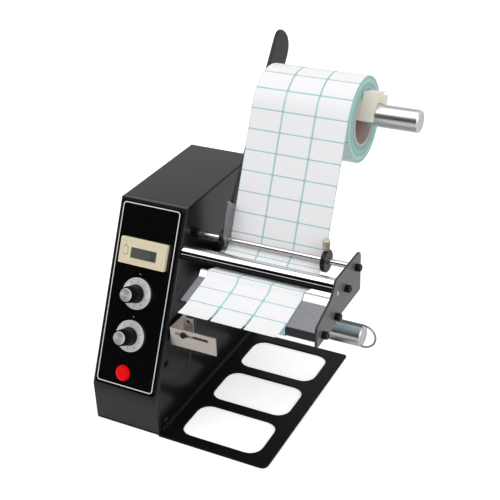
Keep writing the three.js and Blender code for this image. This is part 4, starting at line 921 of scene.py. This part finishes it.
# The roll arm: a thick black plate on two round feet, screwed to the side wall from behind. It rises past the
# roll, leaning back, to a rounded tip, in the same coat as the cover.

softened("roll_arm", powder_black, 0.5, 3)

# The roll's shaft: a turned aluminium bar as thick as a thumb, chamfered at its free end, with the lathe's
# rings on its end face.

# Drawn and turned aluminium: bright satin with rings around it
turned_aluminium = grained(
    "turned_aluminium", "D2D2D4", 0.28, 1.0, 0.6, "CACACC", "DADADC", (0.22, 0.36), 0.008, (6, 0.35, 0.35)
)
SHAFT_START, SHAFT = 92.5, (178, 267)
roll_shaft = [
    (0, 0), (0, 5.7), (0.3, 6.0), (4.0, 6.0), (4.0, 9.7), (4.3, 10.0), (149.3, 10.0), (150.49, 8.9),
    (150.49, 6.0), (150.4, 5.8), (150.49, 5.6), (150.49, 0),
]
shaft_bar = turned("roll_shaft_bar", roll_shaft, turned_aluminium, along_x(SHAFT_START, *SHAFT), 64)
stand_for(shaft_bar, "roll_shaft")

# The saddles: cream blocks that slide on the shaft, their steps inside the core and their flanges against
# the roll, milled from nylon.

# Nylon: cream white, matt, slightly translucent, with shallow milling marks
cream_nylon = grained(
    "cream_nylon", "EFEADB", 0.5, 0.0, 1.6, "EBE5D4", "F4F0E4", (0.42, 0.58), 0.015, (1, 1, 0.3),
    plain={"Subsurface Weight": 0.1, "Subsurface Scale": 0.003},
)
for node in ("outer_saddle", "inner_saddle"):
    softened(node, cream_nylon, 0.6, 3)

# The label roll: a cardboard core wound with three-up white labels on teal backing paper. The layers stand
# a little in and out of each other, and the outermost shows its labels with the teal gaps between them.

WEB_LEFT, WEB_WIDTH = 101.0, 91.0
ROLL = (178, 261)
ON_ROLL = along_x(WEB_LEFT, *ROLL)

# Wound kraft board: pinkish brown, fibrous, matt
kraft_board = grained(
    "wound_kraft_board", "CDBBB5", 0.9, 0.0, 2.2, "C2AEA8", "D8C8C2", None, 0.06, (1, 3, 3)
)
rim = [(0, 21.4), (0, 22.2), (0.15, 22.3), (0, 22.4), (0, 23.4)]
core = rim + [(WEB_WIDTH - along, radius) for along, radius in reversed(rim)]
stand_for(turned("roll_core_tube", core, kraft_board, ON_ROLL, 72, True), "roll_core")

# Backing paper on edge: teal, in fine rings of slightly different strength
paper_edge, tree, shader, coords = new_material("teal_paper_edges", "8FBDBA", 0.62)
local = centred_on(tree, coords, ON_ROLL)
apart = add_node(tree, "ShaderNodeSeparateXYZ", {"Vector": local}).outputs
flat_spot = add_node(tree, "ShaderNodeCombineXYZ", {"X": apart["X"], "Y": apart["Y"]})
reach = add_node(tree, "ShaderNodeVectorMath", {0: flat_spot}, operation="LENGTH")
layer = add_node(tree, "ShaderNodeCombineXYZ", {"X": reach.outputs["Value"]})
# Layers of 0.7 mm, coarser than the real 0.15 mm so that they show
layers = add_node(tree, "ShaderNodeTexNoise", {"Vector": layer, "Scale": 1000 / 0.7, "Detail": 4.0})
# Bands of about 4 mm, as batches of layers stand a little in or out
bands = add_node(tree, "ShaderNodeTexNoise", {"Vector": layer, "Scale": 1000 / 4.0, "Detail": 3.0})
ramp = add_node(tree, "ShaderNodeMapRange", {"Value": bands, "From Min": 0.38, "From Max": 0.62})
teals = {0: ramp, 6: linear("7FAEAB"), 7: linear("BEDCD9")}
tint = add_node(tree, "ShaderNodeMix", teals, data_type="RGBA")
tree.links.new(tint.outputs[2], shader.inputs["Base Color"])
bump = add_node(tree, "ShaderNodeBump", {"Height": layers, "Strength": 0.6, "Distance": 0.0001})
tree.links.new(bump.outputs[0], shader.inputs["Normal"])

# 26 batches of layers from the core to the roll's face, each standing up to 0.35 mm back from the full width
random.seed(4)
LAYERS_INNER, ROLL_OUTER, BATCHES, SETBACK = 23.7, 38.3, 26, 0.35
layer_radii = [LAYERS_INNER + (ROLL_OUTER - LAYERS_INNER) * k / BATCHES for k in range(BATCHES + 1)]
left_side, right_side = [], []
for inner, outer in zip(layer_radii, layer_radii[1:]):
    stand = random.uniform(0.0, SETBACK)
    left_side += [(stand, inner + 0.01), (stand, outer - 0.01)]
    stand = random.uniform(0.0, SETBACK)
    right_side += [(WEB_WIDTH - stand, inner + 0.01), (WEB_WIDTH - stand, outer - 0.01)]
wound = left_side + right_side[::-1]
stand_for(turned("label_roll_wound", wound, paper_edge, ON_ROLL, 120, True), "label_roll")

# Label paper: coated, near-white, very smooth
coated_paper = grained(
    "coated_label_paper", "F5F5F7", 0.5, 0.0, 3.0, "F2F2F4", "F8F8FA", (0.44, 0.56), 0.004
)

LABEL_WIDTH, LABEL_PITCH, LABEL_ACROSS, LABEL_SPLIT = 29.0, 18.35, 30.5, 1.0
LABEL_SHEET, LABEL_CORNER = 0.12, 1.2


def narrowed(width, from_end):
    """Half a label's width at a distance from its end, where its corners are round."""
    inward = max(LABEL_CORNER - from_end, 0)
    return width / 2 - LABEL_CORNER + math.sqrt(max(LABEL_CORNER**2 - inward**2, 0))


def label_patch(name, pitch, bend=None):
    """One row of three die-cut labels with small round corners, flat or bent to a radius."""
    half, steps = (pitch - LABEL_SPLIT) / 2, 10
    straight = half - LABEL_CORNER
    between = [straight * (2 * k / steps - 1) for k in range(steps + 1)]
    stations = [-half, -half + 0.35] + between + [half - 0.35, half]
    points, faces = [], []
    for column in (-1, 0, 1):
        faces += bar_faces(len(stations), 4, len(points))
        for along in stations:
            reach = narrowed(LABEL_WIDTH, half - abs(along))
            for side, height in [(-1, 0), (-1, LABEL_SHEET), (1, LABEL_SHEET), (1, 0)]:
                across = column * LABEL_ACROSS + side * reach
                if bend:
                    out = bend + height
                    points.append((out * math.cos(along / bend), out * math.sin(along / bend), across))
                else:
                    points.append((across, along, height))
    return raw(name, points, faces)


FIRST_GAP = 4.7
ROLL_ROWS = 13
row_turn = 2 * math.pi / ROLL_ROWS
# The angle at which the web leaves the roll; its last row there begins before that and bends away with it
leave = math.atan2(277.36 - ROLL[1], 142.54 - ROLL[0])
last_gap = leave + (FIRST_GAP - LABEL_PITCH) / ROLL_OUTER + math.pi / 2
roll_labels = circle_row(
    "label_roll_labels",
    label_patch("roll_row", row_turn * ROLL_OUTER, ROLL_OUTER),
    ROLL_ROWS,
    0.0,
    coated_paper,
    ON_ROLL @ Matrix.Translation((0, 0, WEB_WIDTH / 2)),
    last_gap + row_turn / 2,
)
goes_with(crisp(roll_labels, 40), "label_roll")

# The label web: glassine backing with its labels, off the roll, over the guide rod, under the roller and down
# the deck. At the peeling edge the labels let go, and the bare backing folds under the deck.


def run_past(stops, offset=0.0, step=math.radians(5)):
    """The line (y, z) of a strip past round stops (y, z, radius, +1 turning left or -1 right)."""
    reach = [turn * radius - offset for _, _, radius, turn in stops]
    headings = []
    for i in range(1, len(stops)):
        run, rise = stops[i][0] - stops[i - 1][0], stops[i][1] - stops[i - 1][1]
        headings.append(math.atan2(rise, run) - math.asin((reach[i] - reach[i - 1]) / math.hypot(run, rise)))
    spots = []
    for i, (y, z, _, _) in enumerate(stops):
        arriving, leaving = headings[max(i - 1, 0)], headings[min(i, len(headings) - 1)]
        bend = math.atan2(math.sin(leaving - arriving), math.cos(leaving - arriving))
        steps = math.ceil(abs(bend) / step)
        for k in range(steps + 1):
            heading = arriving + (bend * k / steps if steps else 0)
            spots.append((y + reach[i] * math.sin(heading), z - reach[i] * math.cos(heading)))
    return spots


WEB_ON_ROLL, WEB_SHEET = 39.05, 0.16
# What the web runs past: its place, the radius of the web's middle there, and the side it turns to
WEB_STOPS = [
    (*ROLL, WEB_ON_ROLL, 1),
    (*GUIDE_ROD, 3.3, -1),
    (*ROLLER, 6.95, -1),
    (49.3, 153.6, 3.35, 1),
    (42.7, 154.8, 2.45, -1),
    (12.6, 143.9, 2.55, 1),
    (11.2, 138.2, 1.15, 1),
    (24.2, 137.05, 0, 1),
]

# Where it still lies on the roll it sinks to the roll's face, by 0.45 mm over 15 mm
SINK, SINK_RUN = 0.45, 15


def web_path(on_roll, offset=0.0):
    """The web's line (y, z), from on_roll mm before it leaves the roll, rising there from the roll's face."""
    lead = []
    for k in range(8):
        back = on_roll * (1 - k / 8)
        radius = WEB_ON_ROLL - SINK * min(back / SINK_RUN, 1) - offset
        angle = leave - back / WEB_ON_ROLL
        lead.append((ROLL[0] + radius * math.cos(angle), ROLL[1] + radius * math.sin(angle)))
    return lead + run_past(WEB_STOPS, offset)


BACKING_LEAD, LABEL_LEAD = 14.1, 20.0
web_side = web_path(BACKING_LEAD, -WEB_SHEET / 2) + web_path(BACKING_LEAD, WEB_SHEET / 2)[::-1]
count = len(web_side)
points = [(x, y, z) for x in (WEB_LEFT, WEB_LEFT + WEB_WIDTH) for y, z in web_side]
faces = bar_faces(2, count)[:-2]
for k in (0, count):
    faces += [(k + i, k + i + 1, k + count - 2 - i, k + count - 1 - i) for i in range(count // 2 - 1)]

# Glassine backing: pale teal, glossier than the labels, a little light shows through
glassine = grained(
    "teal_glassine_backing", "9FCFD6", 0.35, 0.0, 5.0, "98C9D1", "ABD7DD", (0.28, 0.42), 0.01,
    plain={"Subsurface Weight": 0.1, "Subsurface Scale": 0.001},
)
web = crisp(build("label_web_backing", points, faces, glassine), 30)
stand_for(web, "label_web")

# Flat rows laid along the web's line by a node tree: a point's length along it becomes its place on it
line = placed("web_line", line_curve("web_line", [(0, y, z) for y, z in web_path(LABEL_LEAD)]))
values = {
    "Line": line,
    "Row": label_patch("web_row", LABEL_PITCH),
    "Rows": 12,
    "First": LABEL_LEAD + FIRST_GAP - LABEL_PITCH / 2,
    "Pitch": LABEL_PITCH,
    "Height": WEB_SHEET / 2,
    "Middle": WEB_LEFT + WEB_WIDTH / 2,
    "Finish": coated_paper,
}
tree, given = new_tree("label_web_rows", values)
start = add_node(tree, "ShaderNodeCombineXYZ", {"Y": given["First"]})
offset = add_node(tree, "ShaderNodeCombineXYZ", {"Y": given["Pitch"]})
spread = {"Count": given["Rows"], "Start Location": start, "Offset": offset}
row_line = add_node(tree, "GeometryNodeMeshLine", spread)
source = add_node(tree, "GeometryNodeObjectInfo", {"Object": given["Row"]}).outputs["Geometry"]
laid = add_node(tree, "GeometryNodeInstanceOnPoints", {"Points": row_line, "Instance": source})
flat = add_node(tree, "GeometryNodeRealizeInstances", {"Geometry": laid})
position = add_node(tree, "GeometryNodeInputPosition")
spot = add_node(tree, "ShaderNodeSeparateXYZ", {"Vector": position}).outputs
route = add_node(tree, "GeometryNodeObjectInfo", {"Object": given["Line"]}).outputs["Geometry"]
reached = {"Curves": route, "Length": spot["Y"]}
sample = add_node(tree, "GeometryNodeSampleCurve", reached, mode="LENGTH").outputs
crossed = {0: sample["Tangent"], 1: (1.0, 0.0, 0.0)}
outward = add_node(tree, "ShaderNodeVectorMath", crossed, operation="CROSS_PRODUCT")
above = add_node(tree, "ShaderNodeMath", {0: spot["Z"], 1: given["Height"]}, operation="ADD")
raised = add_node(tree, "ShaderNodeVectorMath", {0: outward, "Scale": above}, operation="SCALE")
across = add_node(tree, "ShaderNodeMath", {0: spot["X"], 1: given["Middle"]}, operation="ADD")
sideways = add_node(tree, "ShaderNodeCombineXYZ", {"X": across})
on_line = add_node(tree, "ShaderNodeVectorMath", {0: sample["Position"], 1: raised}, operation="ADD")
final = add_node(tree, "ShaderNodeVectorMath", {0: on_line, 1: sideways}, operation="ADD")
bent = add_node(tree, "GeometryNodeSetPosition", {"Geometry": flat, "Position": final})
web_labels = grown("label_web_labels", tree, given, bent, values)
goes_with(crisp(web_labels, 40), "label_web")

# The peeled labels: the foremost three have let go of the backing at the deck's edge and stand out in front
# of it, curling up a little.

# How far the labels stand out from the two bends of the deck before the edge
PEEL_HEIGHT = 1.01
deck_bends = [(42.7, 154.8, 3 - PEEL_HEIGHT, -1), (12.6, 143.9, 2 + PEEL_HEIGHT, 1)]
from_kink, from_peel = run_past(deck_bends)[-2:]
slope = math.atan2(from_peel[1] - from_kink[1], from_peel[0] - from_kink[0])
CURL_RADIUS, CURL_SHEET, CURL_WIDTH = 60.0, 0.14, 28.5
# Each label holds on to the backing by its last 1.1 mm, and curls from there to its free end
HELD, FREE = 1.1, 18.6
stations = [-HELD, 0.0, 0.5] + [0.5 + (FREE - 1.4) * k / 12 for k in range(1, 13)] + [FREE - 0.4, FREE]
for column in range(3):
    middle = WEB_LEFT + WEB_WIDTH / 2 + (column - 1) * LABEL_ACROSS
    points = []
    for along in stations:
        held, heading = min(along, 0), slope - max(along, 0) / CURL_RADIUS
        y = from_peel[0] + held * math.cos(slope) + CURL_RADIUS * (math.sin(slope) - math.sin(heading))
        z = from_peel[1] + held * math.sin(slope) + CURL_RADIUS * (math.cos(heading) - math.cos(slope))
        reach = narrowed(CURL_WIDTH, min(along + HELD, FREE - along))
        for side, face in [(-1, -1), (-1, 1), (1, 1), (1, -1)]:
            level = face * CURL_SHEET / 2
            off_y, off_z = level * math.sin(heading), level * math.cos(heading)
            points.append((middle + side * reach, y - off_y, z + off_z))
    faces = bar_faces(len(stations), 4)
    peeled = crisp(build(f"peeled_label_{column + 1}_curled", points, faces, coated_paper), 40)
    stand_for(peeled, f"peeled_label_{column + 1}")

# The side guides: black collars on the guide rod, each clamped by a knurled thumbscrew. The left one also
# carries a thin steel cheek that steers the labels' edge.

# Nickel on brass: warm silver, worn a little yellow on the knurl
nickel_brass = grained(
    "nickel_plated_brass", "CDC4B8", 0.32, 0.9, 1.1, "C2B7A6", "D6D0C6", (0.26, 0.4), 0.01
)
for side, x, tilt in [("left", 97.3, 155.0), ("right", 194.6, 0.0)]:
    on_rod = Matrix.Translation((x, *GUIDE_ROD))
    # The collar's screw hole lies under the screw's shank, so it is left to the solid
    ring = [(-2.1, 3.05), (-2.1, 9.6), (-1.7, 10.0), (1.7, 10.0), (2.1, 9.6), (2.1, 3.05)]
    collar = turned(f"{side}_guide_collar_ring", ring, black_oxide, along_x(x, *GUIDE_ROD), 64, True)
    stand_for(collar, f"{side}_guide_collar")
    screw_place = on_rod @ Matrix.Rotation(math.radians(tilt), 4, "X")
    thumb = [
        (3.05, 0), (3.05, 1.5), (10.3, 1.5), (10.3, 2.2), (11.2, 2.2), (11.2, 3.0), (11.4, 3.2),
        (13.6, 3.2), (13.8, 2.8), (14.3, 2.8), (14.5, 3.2), (19.9, 3.2), (20.5, 2.7), (20.6, 1.2),
        (20.4, 0),
    ]
    stand_for(turned(f"{side}_thumbscrew_body", thumb, nickel_brass, screw_place, 40), f"{side}_thumbscrew")
    for band, low, high in [("lower", 11.45, 13.55), ("upper", 14.55, 19.85)]:
        ridge = rib("thumb_rib", 0.2, low, high, 5)
        knurl_name = f"{side}_thumbscrew_knurl_{band}"
        knurl = circle_row(knurl_name, ridge, 36, 3.17, nickel_brass, screw_place)
        goes_with(knurl, f"{side}_thumbscrew")

# Stainless cheek: bright, lightly brushed upwards
stainless = grained(
    "brushed_stainless", "8C8B8C", 0.34, 1.0, 0.8, "828182", "969596", (0.28, 0.42), 0.006, (1, 1, 0.1)
)
softened("left_guide_plate", stainless, 0.2)

# The take-up: an aluminium bar turned by the motor through a bronze bearing. A sprung wire clip slides into
# its end and pins the bare backing on it; here it is still empty.

TAKEUP = (138.5, 63.3)
takeup = [
    (0, 0), (0, 3.7), (0.3, 4.0), (18.0, 4.0), (18.0, 10.2), (18.3, 10.5), (158.4, 10.5),
    (159.5, 9.5), (159.5, 6.2), (159.4, 6.0), (159.5, 5.8), (159.5, 0),
]
takeup_bar = turned("takeup_bar", takeup, turned_aluminium, along_x(51.5, *TAKEUP), 64)
stand_for(takeup_bar, "takeup_shaft")

# Sintered bronze: brown-gold, dull and porous
sintered_bronze = grained(
    "sintered_bronze", "8F6A3C", 0.42, 1.0, 0.8, "7A5830", "A07A48", (0.34, 0.55), 0.03
)
softened("shaft_bearing", sintered_bronze, 0.25)

# The clip's line (x, height over the bar's axis): two legs and a half-round bend between them
WIRE_RADIUS, WIRE_SIDES, CLIP_REACH, CLIP_BEND = 1.0, 16, 11.8, 211.0
legs = [104.0, 104.6] + [112.0 + 9 * k for k in range(11)]
wire_line = [(x, CLIP_REACH) for x in legs]
for k in range(33):
    turn = math.pi * k / 32
    wire_line.append((CLIP_BEND + CLIP_REACH * math.sin(turn), CLIP_REACH * math.cos(turn)))
wire_line += [(x, -CLIP_REACH) for x in reversed(legs)]
points = []
for k, (x, height) in enumerate(wire_line):
    ahead, behind = wire_line[min(k + 1, len(wire_line) - 1)], wire_line[max(k - 1, 0)]
    heading = math.atan2(ahead[1] - behind[1], ahead[0] - behind[0])
    # Both ends are chamfered
    radius = WIRE_RADIUS * (0.6 if k in (0, len(wire_line) - 1) else 1.0)
    for i in range(WIRE_SIDES):
        angle = 2 * math.pi * i / WIRE_SIDES
        lift = radius * math.cos(angle)
        y, z = TAKEUP[0] + radius * math.sin(angle), TAKEUP[1] + height + lift * math.cos(heading)
        points.append((x - lift * math.sin(heading), y, z))
faces = bar_faces(len(wire_line), WIRE_SIDES)
# Hard drawn spring wire: bright, greyer than chrome
spring_wire = grained(
    "bright_spring_wire", "98989C", 0.2, 1.0, 1.5, "8E8E92", "A2A2A6", (0.14, 0.26), 0.004
)
stand_for(crisp(build("takeup_clip_wire", points, faces, spring_wire), 50), "takeup_clip")

# The label sensor: a bent steel bracket with a long slot, a carrier clamped in it by one screw, and a small
# black reflex head behind the carrier's eye.

# Nickel plated steel: pale and warm, satin
nickel_steel = grained(
    "nickel_plated_steel", "C3B9B1", 0.34, 0.75, 1.0, "BAB0A8", "CDC4BC", (0.28, 0.42), 0.01
)
softened("sensor_bracket", nickel_steel, 0.25)
softened("sensor_carrier", nickel_steel, 0.2)

# Moulded nylon: black, matt
sensor_black = grained(
    "moulded_black_nylon", "151516", 0.5, 0.0, 0.8, "121213", "1C1C1D", (0.42, 0.6), 0.02
)
softened("sensor_head", sensor_black, 0.5, 3)

FACING_FRONT = Matrix.Translation((83.4, 28.35, 96.8)) @ Matrix.Rotation(math.pi / 2, 4, "X")


def cross_slot(angle):
    """A cross-shaped recess by angle, for a screw driver."""
    quarter = (angle + math.pi / 4) % (math.pi / 2) - math.pi / 4
    return 1.9 if abs(quarter) < 0.2 else 0.55


cross_screw = [
    (-2.95, 0), (-2.95, 1.2), (0.0, 1.2), (0.0, 2.9), (0.5, 3.0), (1.3, 2.6), (1.8, 2.1),
    (1.8, cross_slot), (1.0, cross_slot), (1.0, 0),
]
stand_for(turned("sensor_screw_cross", cross_screw, black_oxide, FACING_FRONT, 48), "sensor_screw")

# Inside the housing: a geared motor, a circuit board with its parts and a small transformer. They are seen
# only when the cover is off.

# Die-cast zinc: mid grey, slightly rough from the die
cast_grey = grained("die_cast_grey", "7C7C7F", 0.45, 0.6, 2.0, "707073", "8A8A8D", (0.36, 0.56), 0.04)
softened("gear_motor", cast_grey, 0.6, 3)
softened("transformer", cast_grey, 0.5)

# Glass fibre board under green lacquer
board_green = grained("green_circuit_board", "2E6B3D", 0.4, 0.0, 1.2, "27603A", "387A48", (0.3, 0.5), 0.02)
softened("circuit_board", board_green, 0.3)

# The rear power module: a moulded inlet for a mains lead and a rocker switch in one snap-in frame, both of
# black glass filled nylon.

# Glass filled nylon: black, dull, with a fine mould texture
module_nylon = grained(
    "black_glass_filled_nylon", "1D1D1E", 0.48, 0.0, 0.9, "19191A", "242425", (0.4, 0.58), 0.02
)
softened("power_inlet", module_nylon, 0.4, 3)
softened("switch_rocker", module_nylon, 0.35, 3)
for i, (x, z) in enumerate([(33.0, 31.5), (47.0, 31.5), (40.0, 25.0)]):
    # The three blades of the inlet, flat bars that end inside the socket
    blade = slab(
        f"inlet_blade_{i + 1}",
        rounded(-1.0, -2.0, 1.0, 2.0, 0.3, 3),
        0.0,
        11.5,
        nickel_steel,
        Matrix.Translation((x, 189.0, z)) @ Matrix.Rotation(-math.pi / 2, 4, "X"),
    )
    goes_with(blade, "power_inlet")

low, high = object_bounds()
